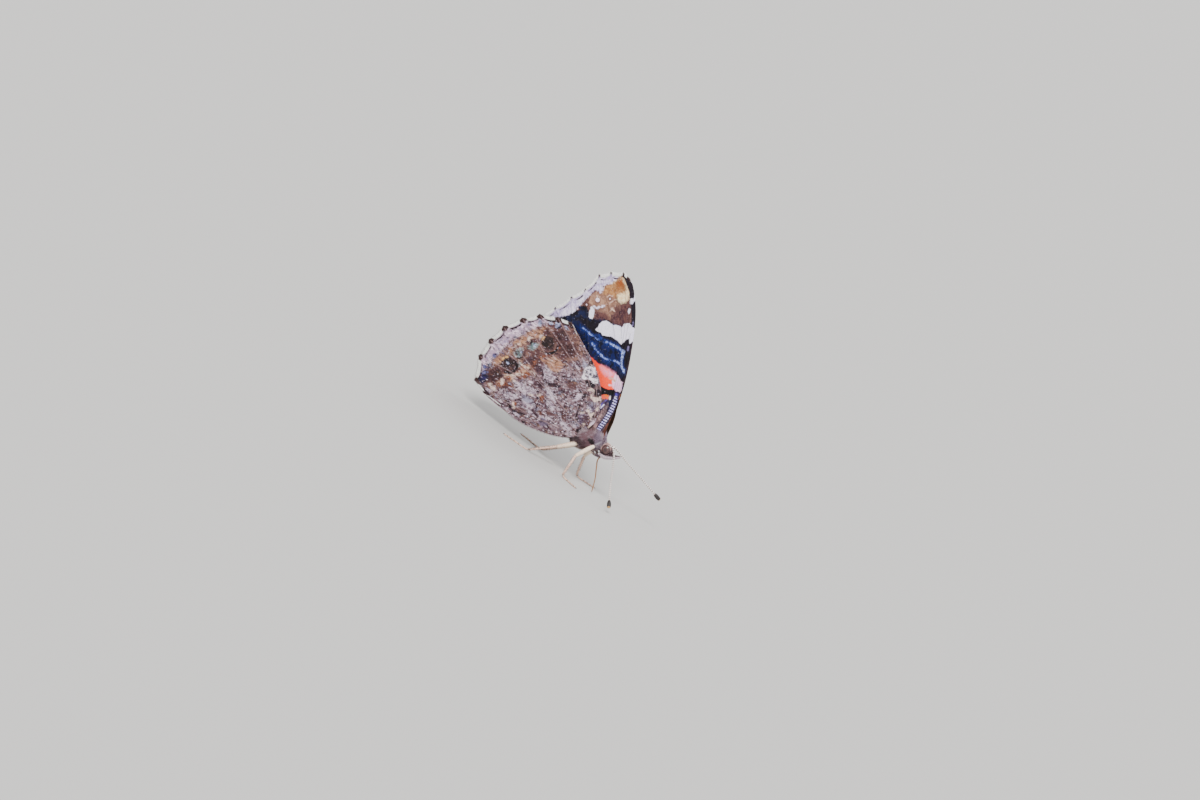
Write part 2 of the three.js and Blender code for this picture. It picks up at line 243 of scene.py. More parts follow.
def setStudio():
    turn, height, roll = (radians(studio[key]) for key in ("turn", "height", "roll"))
    back = Vector((sin(turn) * cos(height), -cos(turn) * cos(height), sin(height)))
    level = Vector((cos(turn), sin(turn), 0))
    upright = back.cross(level)
    right = level * cos(roll) + upright * sin(roll)
    up = upright * cos(roll) - level * sin(roll)
    target = Vector(hingeAt) + (Vector(studio["aim"]) + right * studio["aside"] + up * studio["above"]) * mm
    lens = bpy.data.cameras.new("camera")
    lens.lens = studio["lens"]
    lens.sensor_width = 36
    lens.clip_start = 0.05
    lens.clip_end = 20
    camera = bpy.data.objects.new("camera", lens)
    camera.matrix_world = Matrix.Translation(target + back * studio["distance"]) @ Matrix(
        (right, up, back)).transposed().to_4x4()
    bpy.context.scene.collection.objects.link(camera)
    bpy.context.scene.camera = camera

    ground = Finish("paleFloor", Roughness=0.9)
    ground.give("Base Color", studio["floor"])
    mesh = bpy.data.meshes.new("floor")
    radius = studio["floorRadius"]
    rim = [(radius * cos(turn), radius * sin(turn), 0) for turn in np.linspace(0, 2 * pi, 65)[:-1]]
    mesh.from_pydata(rim, [], [tuple(range(len(rim)))])
    mesh.materials.append(ground.material)
    floor = bpy.data.objects.new("floor", mesh)
    bpy.context.scene.collection.objects.link(floor)

    world = bpy.context.scene.world or bpy.data.worlds.new("studio")
    bpy.context.scene.world = world
    world.use_nodes = True
    sky = world.node_tree.nodes["Background"]
    sky.inputs["Color"].default_value = studio["world"]
    sky.inputs["Strength"].default_value = studio["worldLight"]

    for name, (way, strength, spread) in studio["lights"].items():
        lamp = bpy.data.lights.new(f"{name}Light", "SUN")
        lamp.energy = strength
        lamp.angle = radians(spread)
        source = bpy.data.objects.new(f"{name}Light", lamp)
        toward = level * way[0] + Vector((0, 0, way[1])) + back * way[2]
        source.matrix_world = toward.to_track_quat("Z", "Y").to_matrix().to_4x4()
        bpy.context.scene.collection.objects.link(source)


setStudio()
print("studio set")


# The wings, from the lines of their veins
# A wing is drawn in its own plane from its hinge, as (along, across): along its long axis, and across it
# towards the trailing edge. A reach and an angle give where a line meets the margin. "fringe" is how far the
# hairs stand out from the membrane, and "beyond" how far they reach past the solid wing.
wingPlan = {
    "fore": {
        "hinge": (0, 0), "axis": 117, "distance": 0.62,
        "root": {"out": -0.9, "leading": -1.2, "trailing": 1.5, "freeBelow": (8, 9)},
        "leading": {"reach": 31.1, "angle": -3.7, "bow": -2.3, "skew": 1.3},
        "trailing": {"reach": 23.6, "angle": 45.5, "bow": 0.9},
        "veins": {
            "subcosta": {"stem": "radius4", "fork": 0.05, "joinsEdge": 0.52},
            "radius1": {"stem": "radius4", "fork": 0.3, "joinsEdge": 0.68},
            "radius3": {"stem": "radius4", "fork": 0.5, "joinsEdge": 0.88},
            "radius4": {"reach": 32.4, "angle": 0, "bow": -1.9, "skew": 1.2},
            "radius5": {"reach": 32.3, "angle": 4.6, "stem": "radius4", "fork": 0.62},
            "media1": {"reach": 31.7, "angle": 8.9, "stem": "radius4", "fork": 0.47},
            "media2": {"reach": 29.0, "angle": 14.6, "bow": 0.3, "starts": 0.47},
            "media3": {"reach": 27.9, "angle": 20.8, "bow": 1.1},
            "cubitus1": {"reach": 26.8, "angle": 28.6, "stem": "media3", "fork": 0.42},
            "cubitus2": {"reach": 26.4, "angle": 36.3, "stem": "media3", "fork": 0.28},
            "anal": {"reach": 24.8, "angle": 42.6, "bow": 1.0},
        },
        "cellEnd": ("media1", "media3", 0.47), "rows": 136, "fringed": (1, 11), "fringe": 0.55, "beyond": 0.5,
    },
    "hind": {
        "hinge": (-2.2, -0.8), "axis": 166, "distance": 1.62,
        "root": {"out": 0, "leading": -1.9, "trailing": 1.8, "freeBelow": (-1.2, 0.4)},
        "leading": {"reach": 18.7, "angle": -34.7, "bow": -2.75, "skew": 0.8, "roundness": 2},
        "trailing": {"reach": 18.2, "angle": 34.2, "bow": 1.8},
        "veins": {
            "radius1": {"reach": 21.9, "angle": -31.6, "bow": -2.4, "skew": 0.85, "roundness": 2},
            "sector": {"reach": 23.5, "angle": -25.2, "stem": "radius1", "fork": 0.17},
            "media1": {"reach": 25.3, "angle": -17.3, "stem": "sector", "fork": 0.36},
            "media2": {"reach": 26.2, "angle": -9.4, "bow": -0.4, "starts": 0.45},
            "media3": {"reach": 27.1, "angle": -0.6, "bow": 0.8},
            "cubitus1": {"reach": 27.2, "angle": 7.6, "stem": "media3", "fork": 0.44},
            "cubitus2": {"reach": 26.9, "angle": 15.9, "stem": "media3", "fork": 0.3},
            "anal2": {"reach": 25.3, "angle": 26.2, "bow": 1.2},
            "anal3": {"reach": 22.6, "angle": 30.1, "bow": 1.9},
        },
        "cellEnd": ("media1", "media3", 0.45), "rows": 120, "fringed": (0, 10), "fringe": 0.75, "beyond": 0.6,
    },
}
wingForm = {
    "thickness": 0.14, "edge": 0.05, "veinHeight": (0.15, 0.08), "veinWidth": 0.15, "thinning": 0.55,
    "packed": 0.42, "spacing": 0.21, "scallop": 0.35, "hollow": 0.07, "usualReach": 27,
    # columns stand closer beside a vein, a step being at most this share of the gap and this wide
    "beside": (0.035, 0.08), "besideSteps": (0, 1, 2, 3.5), "cellRidge": 0.45,
    "apart": 1.2, "apartHeight": 9, "rear": (4, 22), "rearShare": 0.7,
    "sunk": 0.9, "sunkShare": 0.1, "leftBehind": 0.8,
}


def polar(reach, angle):
    return np.array([reach * cos(radians(angle)), reach * sin(radians(angle))])


def bowed(a, b, line, t):
    along = (b - a) / np.linalg.norm(b - a)
    share = 1 - np.abs(2 * t ** line.get("skew", 1) - 1) ** line.get("roundness", 2.6)
    return a + np.outer(t, b - a) + np.outer(share * line.get("bow", 0), (-along[1], along[0]))


def wingLines(plan):
    root, veins = plan["root"], plan["veins"]
    names = list(veins)
    spacing = 1 / (len(names) + 1)
    packed = wingForm["packed"]

    def rootAt(share):
        return np.array([root["out"], lerp(root["leading"], root["trailing"], share)])

    def edge(side, share):
        return lambda t: bowed(rootAt(share), polar(side["reach"], side["angle"]), side, t)

    frontEdge = edge(plan["leading"], 0)

    def lineOf(name):
        vein, rank = veins[name], names.index(name)
        if "stem" not in vein:
            own = rootAt((rank + 1) * spacing)
            return lambda t: bowed(own, polar(vein["reach"], vein["angle"]), vein, t)
        stem = lineOf(vein["stem"])
        steps = rank - names.index(vein["stem"])
        atRoot = (root["trailing"] - root["leading"]) * spacing

        def beside(t):
            return stem(t) + np.outer(steps * lerp(atRoot, packed, smoothstep(t, 0, 0.15)), (0, 1))

        if "joinsEdge" in vein:
            def besideEdge(t):
                inwards = stem(t) - frontEdge(t)
                inwards /= np.linalg.norm(inwards, axis=1, keepdims=True)
                return frontEdge(t) + inwards * packed * (rank + 1)

            def joining(t):
                share = smoothstep(t, vein["fork"], vein["joinsEdge"])[:, None]
                return lerp(beside(t), besideEdge(t), share)
            return joining

        fork = vein["fork"]
        leaves = beside(np.array([fork]))[0]
        bend = leaves + stem(np.array([lerp(fork, 1, 0.3)]))[0] - stem(np.array([fork]))[0]
        tip = polar(vein["reach"], vein["angle"])

        def line(t):
            share = np.clip((t - fork) / (1 - fork), 0, 1)[:, None]
            free = lerp(lerp(leaves, bend, share), lerp(bend, tip, share), share)
            return np.where((t <= fork)[:, None], beside(t), free)
        return line

    return [frontEdge, *(lineOf(name) for name in names), edge(plan["trailing"], 1)]


# The wing's surface as a grid of rows from root to margin and columns from front to rear
def wingGrid(plan):
    lines = wingLines(plan)
    names = list(plan["veins"])
    reach = plan["leading"]["reach"]
    beyond = plan["beyond"] / wingForm["usualReach"]
    t = np.linspace(0, 1, plan["rows"]) * (1 - (plan["fringe"] - plan["beyond"]) / wingForm["usualReach"])
    paths = [line(t) for line in lines]
    ends = [line(np.array([1.0]))[0] for line in lines]
    width = wingForm["veinWidth"]
    first, last, endsAt = plan["cellEnd"]
    columns, relief, toVein, lineAt, margin, toVeinEnd = [], [], [], [], [], []
    raised = [np.zeros(len(t))]
    for name in names:
        vein = plan["veins"][name]
        starts = vein.get("starts", 0 if "joinsEdge" in vein else vein.get("fork", 0))
        present = (t >= starts - 0.01) & (t < vein.get("joinsEdge", 2))
        raised.append(present * np.maximum(smoothstep(t, 0.02, 0.1) - wingForm["thinning"] * t, 0))
    raised.append(np.zeros(len(t)))
    crossRidge = np.exp(-(((t - endsAt) * reach) / width) ** 2) * wingForm["cellRidge"]
    most, wide = wingForm["beside"]
    close = wingForm["besideSteps"]
    for k in range(len(lines) - 1):
        a, b = paths[k], paths[k + 1]
        gap = np.linalg.norm(b - a, axis=1)
        middle = max(2, round(np.linalg.norm(ends[k + 1] - ends[k]) / wingForm["spacing"]))
        fine = np.minimum(most, wide / gap)
        shares = [step * fine for step in close]
        shares += [lerp(shares[-1], 1 - shares[-1], (i + 1) / (middle + 1)) for i in range(middle)]
        shares += [1 - step * fine for step in close[:0:-1]]
        meetsMargin = k > 0 and "joinsEdge" not in plan["veins"][names[k - 1]]
        crosses = names.index(first) + 1 <= k < names.index(last) + 1
        if k == len(lines) - 2:
            shares.append(0 * gap + 1)
        for share in shares:
            swell = np.sin(pi * np.clip(share, 0, 1)) ** 0.8
            pull = wingForm["scallop"] / reach * smoothstep(t, 0.82, 1) * swell if meetsMargin else 0 * t
            columns.append((a + (b - a) * share[:, None]) * (1 - pull)[:, None])
            near, far = share * gap, (1 - share) * gap
            height = raised[k] * np.exp(-(near / width) ** 2) + raised[k + 1] * np.exp(-(far / width) ** 2)
            if crosses:
                height = np.maximum(height, crossRidge)
            relief.append(height - wingForm["hollow"] * swell * smoothstep(gap, 0.6, 2.5))
            toVein.append(np.where(height > 0.02, np.minimum(near, far), 2 + 0 * near))
            lineAt.append(k + share[-1])
            margin.append(lerp(ends[k], ends[k + 1], share[-1]) * (1 - pull[-1] + beyond))
            toVeinEnd.append(min(share[-1], 1 - share[-1]) * np.linalg.norm(ends[k + 1] - ends[k]))
    place = np.stack(columns, 1)
    stretch = beyond * smoothstep(t, 0.75, 1)  # the marks reach out to the margin with it
    return {
        "t": t, "place": place, "pattern": place * (1 - stretch)[:, None, None],
        "relief": np.stack(relief, 1), "toVein": np.stack(toVein, 1),
        "margin": np.array(margin), "toVeinEnd": np.array(toVeinEnd), "lineAt": np.array(lineAt),
    }


def standWing(plan, side, place, outwards, along):
    # from the wing's plane to the animal
    turn = radians(plan["axis"] + (wingForm["leftBehind"] if side > 0 else 0))
    u, v = place[..., 0], place[..., 1]
    x = plan["hinge"][0] + u * cos(turn) - v * sin(turn)
    z = plan["hinge"][1] + u * sin(turn) + v * cos(turn)
    rear = 1 - wingForm["rearShare"] * smoothstep(-x, *wingForm["rear"])
    parted = wingForm["apart"] * (1 - smoothstep(z, 0, wingForm["apartHeight"])) * rear
    low = 1 - smoothstep(z, *plan["root"]["freeBelow"])
    turnedIn = wingForm["sunk"] * (1 - smoothstep(along, 0, wingForm["sunkShare"])) * low
    return np.stack([x, side * (plan["distance"] + parted - turnedIn + outwards), z], -1)


# Marks drawn on the wings, as signed distances that the shaders threshold
def edgeDistance(points, a, b):
    a, b = np.asarray(a, float), np.asarray(b, float)
    share = np.clip((points - a) @ (b - a) / max((b - a) @ (b - a), 1e-9), 0, 1)
    return np.linalg.norm(points - a - share[:, None] * (b - a), axis=1)


def area(*corners):
    def field(points):
        inside = np.zeros(len(points), bool)
        nearest = np.full(len(points), 1e3)
        for (u0, v0), (u1, v1) in zip(corners, corners[1:] + corners[:1]):
            nearest = np.minimum(nearest, edgeDistance(points, (u0, v0), (u1, v1)))
            if v0 != v1:
                crosses = (points[:, 1] < v0) != (points[:, 1] < v1)
                inside ^= crosses & (points[:, 0] < u0 + (points[:, 1] - v0) * (u1 - u0) / (v1 - v0))
        return np.where(inside, -nearest, nearest)
    return field


def stroke(width, *path):
    return lambda points: np.min([edgeDistance(points, a, b) for a, b in zip(path, path[1:])], axis=0) - width


def spot(u, v, long, high, lean=0):
    def field(points):
        turn = radians(lean)
        du, dv = points[:, 0] - u, points[:, 1] - v
        a, b = du * cos(turn) + dv * sin(turn), dv * cos(turn) - du * sin(turn)
        return (np.hypot(a / long, b / high) - 1) * min(long, high)
    return field


def ring(u, v, radius, width):
    return lambda points: np.abs(np.hypot(points[:, 0] - u, points[:, 1] - v) - radius) - width


def mark(first, second, soft, ragged, shapes, broken=None, striped=None):
    # broken is how far the mottling breaks it up, and striped the spacing and lean of its stripes
    return {
        "tones": (first, second), "soft": soft, "ragged": ragged, "shapes": shapes,
        "broken": broken, "striped": striped,
    }


def markFields(face, marks, place, farOff=9.0):
    points = place.reshape(-1, 2)
    fields = {}
    for name, drawn in marks.items():
        nearest = [shape(points) for shape in drawn["shapes"]]
        fields[face + name] = np.minimum(np.min(nearest, axis=0), farOff)
    return fields


def marginDashes(kind, width, inwards):
    # a short dark line between every two veins, along the hollow of the margin
    plan = wingPlan[kind]
    veins = [vein for vein in plan["veins"].values() if "joinsEdge" not in vein]
    ends = [polar(vein["reach"], vein["angle"]) for vein in veins]
    share = np.linspace(0.2, 0.8, 6)[:, None]
    hollow = wingForm["scallop"] * np.sin(pi * share) ** 0.8
    pull = (plan["fringe"] + hollow + inwards) / wingForm["usualReach"]
    return [stroke(width, *(lerp(a, b, share) * (1 - pull))) for a, b in zip(ends, ends[1:])]


# The marks under the forewing, laid on in this order. Each has the two colours that the mottling runs
# between, how far its edge fades and how far it wanders, and its shapes
foreMarks = {
    "rootGrey": mark((134, 116, 118), (92, 74, 80), 0.5, 1.0, [
        area((-1.5, -1.6), (2, -1.7), (4.5, -1.3), (7.2, -0.7), (7.3, 0.6), (6, 2.5), (4, 4), (-1.5, 4))]),
    "rootPink": mark((190, 160, 158), (150, 120, 124), 0.4, 0.9, [
        area((-1.2, -0.6), (0.6, -0.2), (2, 0.4), (3.6, 0.5), (3.4, 1.1), (1.6, 1.3), (0.3, 1.8),
            (-1.2, 1.6)), stroke(0.18, (2.2, 0.5), (3.6, 0.2), (4.8, -0.2))]),
    "rootPlum": mark((92, 62, 78), (70, 50, 66), 0.2, 0.5, [
        spot(5.5, 0.8, 0.9, 0.55), spot(3.2, 1.3, 0.5, 0.5), spot(1.5, 2.3, 0.6, 0.35)]),
    "costaBrown": mark((126, 80, 66), (84, 52, 50), 0.12, 0.2, [
        stroke(0.42, (-0.9, -0.8), (0.6, -1.3), (2.2, -2.0), (4.0, -2.65), (6.0, -3.1), (7.6, -3.4))]),
    "costaDark": mark((66, 40, 52), (48, 30, 42), 0.12, 0.2, [
        stroke(0.4, (10.8, -3.8), (14, -4.1), (17, -4.25), (19.2, -4.2))]),
    "deepBlue": mark((24, 36, 92), (12, 18, 40), 0.5, 1.2, [
        area((13.2, -2.2), (14.6, -2.8), (17.2, -2.5), (18.6, -0.6), (19.0, 2), (19.8, 4.2), (21.4, 7.5),
            (19.5, 9), (17, 5.4), (15, 2.8), (14.1, 1), (13.5, -0.8))]),
    "blueHaze": mark((66, 88, 166), (40, 58, 118), 0.5, 0.8, [
        stroke(0.55, (13.3, -3.0), (14.4, -2.3), (14.95, 0.2), (16.0, 2.6), (17.6, 4.2)),
        stroke(0.5, (14.4, -2.3), (16.6, -2.35), (17.8, -0.7), (18.5, 1.3), (19.6, 5.0),
            (20.6, 6.6))], broken=0.02),
    "blueLine": mark((196, 208, 248), (96, 124, 214), 0.12, 0.6, [
        stroke(0.2, (13.3, -3.0), (14.4, -2.3), (14.9, -1.2), (14.95, 0.2), (15.3, 1.5), (16.0, 2.6),
            (16.8, 3.5), (17.6, 4.2)),
        stroke(0.19, (14.4, -2.3), (15.5, -2.35), (16.6, -2.35), (17.3, -1.9), (17.8, -0.7), (18.3, 0.4),
            (18.5, 1.3)), stroke(0.18, (18.3, 1.9), (18.5, 2.9), (19.0, 3.9), (19.6, 5.0), (20.6, 6.6)),
        spot(16.9, -2.35, 0.55, 0.35), spot(13.2, -3.1, 0.4, 0.25)], broken=0.09),
    "apexBrown": mark((136, 104, 94), (92, 66, 68), 0.25, 0.5, [
        area((22.2, -2.7), (23.3, -3.2), (25, -3.05), (27, -2.5), (29, -2.3), (31, -1.0), (33, 0.4),
            (33, 3.5), (31, 7), (28.8, 9), (26.3, 12), (23.6, 15.6), (21.9, 17), (20.8, 15.3), (22.4, 12),
            (24.3, 8.6), (24.6, 6.6), (23.2, 5.2), (22.5, 4.6), (22.9, 3.4), (22.8, 1.6), (22.3, 0.2))]),
    "tan": mark((186, 152, 132), (138, 106, 94), 0.6, 1.0, [
        area((23.3, 1.2), (25, 0.7), (26.2, 0.4), (27.6, 0.9), (28.4, 2.6), (28, 4.6), (26.9, 6),
            (25.6, 6.2), (24.6, 4.8), (23.7, 3.3))]),
    "apexShade": mark((78, 52, 60), (116, 84, 80), 0.7, 1.1, [
        area((22.0, -2.1), (23.4, -2.6), (24.9, -2.2), (25.1, -1.2), (24.4, 0.5), (23.3, 1.0), (22.5, 1.2),
            (22.1, -0.3)), area((26.5, -0.6), (26.7, -2.1), (24.6, -2.6), (24.4, -1.4), (25.4, -0.6)),
        area((24.0, 4.4), (24.1, 2.4), (23.3, 1.6), (22.6, 2.9), (22.9, 4.3)),
        stroke(0.13, (25.0, 3.0), (24.6, 3.6), (24.3, 4.4)), ring(25.0, 0.9, 0.5, 0.14)]),
    "gold": mark((194, 152, 114), (150, 106, 76), 0.6, 0.8, [
        area((27.6, -1.0), (28.6, -1.3), (29.8, -0.9), (31.3, 0.1), (31.0, 0.8), (30.4, 1.2), (29.6, 2.2),
            (29.2, 3.1), (28.0, 3.4), (27.2, 3.4), (27.4, 2.4), (27.3, 1.6), (27.1, 0.5))]),
    "amber": mark((162, 98, 58), (142, 86, 58), 1.0, 0.5, [
        area((31.1, 0.1), (30.8, 0.9), (30.0, 1.0), (29.2, 0.5), (29.2, -0.3), (30.0, -0.5))]),
    "cream": mark((255, 240, 208), (232, 202, 164), 0.6, 0.6, [
        area((26.5, -0.5), (26.7, -1.3), (27.3, -1.9), (28.6, -1.8), (29.8, -1.1), (31.2, -0.2), (31.0, 0.0),
            (29.9, -0.7), (28.9, -1.1), (28.2, -0.5), (27.7, 0.5), (26.9, 0.5)),
        stroke(0.12, (30.9, 0.4), (30.5, 1.2), (29.8, 1.9))]),
    "lilac": mark((236, 228, 244), (178, 164, 198), 0.25, 0.7, [
        area((29.7, 2.0), (30.7, 1.0), (31.9, 0.8), (32.2, 2.6), (31.4, 4.8), (30.2, 6.0), (29.2, 7.4),
            (27.9, 8.9), (25.8, 11.4), (24.2, 13.7), (22.6, 15.6), (20.3, 14.4), (21.3, 11.9), (22.5, 9.6),
            (23.8, 8.2), (25.6, 7.0), (26.9, 5.9), (27.9, 5.0), (27.4, 4.0), (28.1, 3.6), (28.9, 3.7),
            (29.3, 2.9)), stroke(0.14, (25.2, 3.0), (24.8, 4.1), (24.8, 4.9))]),
    "eyeRim": mark((226, 200, 186), (198, 168, 158), 0.12, 0.2, [
        stroke(0.1, (27.3, 1.5), (27.4, 2.2), (26.9, 2.6)), stroke(0.1, (26.8, 3.8), (26.8, 4.7)),
        stroke(0.12, (26.7, 1.0), (26.1, 1.7), (25.7, 2.4)), stroke(0.09, (25.6, 0.6), (25.2, 1.6)),
        stroke(0.1, (24.6, 0.5), (25.0, 1.2), (24.5, 1.6))]),
    "eyeDark": mark((92, 64, 60), (104, 76, 68), 0.3, 0.5, [
        spot(26.75, 1.95, 0.42, 0.38), spot(26.0, 4.4, 0.5, 0.5), spot(24.9, 6.5, 0.42, 0.42),
        spot(23.8, 8.2, 0.3, 0.3)]),
    "pupil": mark((246, 232, 240), (236, 212, 226), 0.12, 0.12, [
        spot(26.77, 1.94, 0.19, 0.19), spot(26.15, 4.4, 0.4, 0.42), spot(24.9, 6.5, 0.16, 0.16),
        spot(23.8, 8.2, 0.16, 0.16)]),
    "costaBlack": mark((44, 32, 42), (34, 26, 38), 0.12, 0.2, [
        area((32.4, 0.6), (31.5, 0.45), (31.0, -0.3), (29.8, -1.0), (28.6, -1.75), (27.5, -2.0),
            (27.6, -3.0), (29.0, -2.8), (30.6, -2.2), (32.4, -0.7)),
        stroke(0.48, (22.4, -3.7), (24, -3.5), (25.4, -3.2), (26.6, -2.9))]),
    "violetFleck": mark((132, 122, 156), (108, 98, 132), 0.12, 0.25, [
        spot(22.4, -3.4, 0.35, 0.16), spot(23.1, -3.5, 0.3, 0.14), spot(17.8, -3.3, 0.45, 0.25)]),
    "white": mark((246, 242, 252), (236, 230, 246), 0.12, 0.28, [
        area((18.7, -3.45), (20, -4.6), (21.8, -4.5), (22.2, -3.35), (22.9, -2.8), (22.55, -1.8),
            (21.8, -1.35), (22.1, -0.55), (22.0, 0.55), (22.45, 1.45), (22.65, 2.1), (22.4, 2.8),
            (21.7, 3.35), (21, 3.55), (20.7, 4.0), (20.3, 3.8), (20.2, 2.8), (19.65, 2.35), (19.6, 0.55),
            (19.35, -0.1), (19, -0.9), (18.4, -1.8), (19.55, -2.55), (19.8, -3.2)),
        spot(27.0, -2.55, 0.55, 0.42), spot(25.2, -2.35, 0.48, 0.24), spot(23.6, 5.25, 1.1, 0.5),
        stroke(0.22, (27.2, -3.0), (28.2, -3.1), (29.4, -2.75)), stroke(0.1, (29.8, -2.6), (32.0, -1.0))]),
    "marginLine": mark((66, 50, 62), (98, 82, 98), 0.12, 0.3, marginDashes("fore", 0.12, 0.46)),
    "redBand": mark((255, 112, 88), (246, 92, 72), 0.14, 0.3, [
        area((8.8, -2.8), (10.95, -3.15), (11.1, -2.55), (11.8, -2.35), (12.35, -1.55), (12.7, -0.8),
            (13.1, -0.1), (13.55, 1), (13.9, 2.1), (14.5, 3.3), (16.6, 6.6), (19.8, 11.2), (19.4, 13.4),
            (17, 13), (13.4, 8), (11, 4), (10.1, 1.65), (9.55, 1.2), (9.2, 0.35), (9.05, -0.55),
            (9.2, -1.35), (9.65, -2.1))]),
    "pink": mark((255, 178, 206), (255, 158, 172), 0.9, 0.4, [
        area((11.9, -1.3), (12.4, -1.4), (12.9, -0.4), (13.4, 0.8), (13.5, 1.8), (12.6, 1.3), (11.9, 0.6),
            (11.6, -0.3))]),
    "paleEnd": mark((252, 226, 244), (240, 198, 226), 0.22, 0.35, [
        area((8.8, -2.85), (9.5, -3.2), (10.95, -3.25), (11.2, -2.6), (12, -2.2), (12.45, -1.4),
            (11.3, -1.1), (10.2, -1.0), (9.5, -1.5), (9.2, -1.9), (8.7, -2.3)),
        spot(9.95, -0.75, 0.15, 0.3)]),
    "streak": mark((208, 176, 158), (226, 170, 160), 0.25, 0.2, [
        stroke(0.2, (11.0, -1.5), (11.4, -1.0), (11.3, -0.4))]),
    "blackBar": mark((26, 27, 28), (20, 18, 26), 0.14, 0.25, [
        area((8.3, -1.9), (9.2, -1.8), (9.0, -0.6), (9.15, 0.4), (9.6, 1.4), (10.0, 2.6), (9.4, 2.7),
            (8.7, 1.6), (8.1, 0.9), (8.0, -0.9)),
        area((7.4, 1.0), (8.6, 1.0), (9.2, 2.6), (8.4, 2.6), (7.6, 2.0))]),
    "redSpot": mark((236, 118, 92), (224, 104, 86), 0.14, 0.2, [
        area((7.05, 0.3), (7.2, -0.7), (7.6, -1.0), (8, -0.7), (8.0, 0.2), (7.75, 0.8), (7.2, 0.55))]),
    "orange": mark((212, 142, 66), (196, 120, 58), 0.14, 0.2, [
        stroke(0.3, (7.6, -3.2), (8.6, -3.5), (9.8, -3.75), (10.7, -3.8)), spot(7.85, -0.4, 0.14, 0.4)]),
    "whitePatch": mark((240, 226, 222), (204, 180, 186), 0.14, 0.4, [
        area((6.2, 0.6), (7.1, 0.6), (7.3, 1.4), (7.5, 2.2), (6.9, 2.2), (6.5, 1.5)),
        spot(7.5, -1.15, 0.3, 0.16)]),
    "cellDark": mark((66, 54, 92), (58, 42, 58), 0.16, 0.2, [
        stroke(0.6, (0.4, 0.3), (2.5, -0.85), (4.65, -1.75), (6.2, -2.15), (8.4, -2.45)),
        stroke(0.22, (4.8, 0.4), (5.8, -0.1), (6.8, -0.75))]),
    "ladder": mark((240, 234, 255), (194, 184, 244), 0.1, 0.1, [
        stroke(0.42, (0.4, 0.3), (2.5, -0.85), (4.65, -1.75), (6.2, -2.15), (7.3, -2.3)),
        stroke(0.12, (5.2, 0.35), (6.0, -0.2)), spot(7.8, -2.3, 0.3, 0.3)]),
    "rung": mark((24, 20, 48), (36, 30, 66), 0.14, 0.1, [
        stroke(0.5, (0.6, 0.2), (2.5, -0.85), (4.65, -1.75), (6.2, -2.15),
            (7.4, -2.3))], striped=(0.56, 0.3)),
    "violet": mark((104, 88, 180), (78, 66, 140), 0.14, 0.2, [
        spot(8.3, -2.3, 0.28, 0.3), stroke(0.1, (5.0, 0.7), (6.2, 0.2), (7.0, -0.5))]),
}

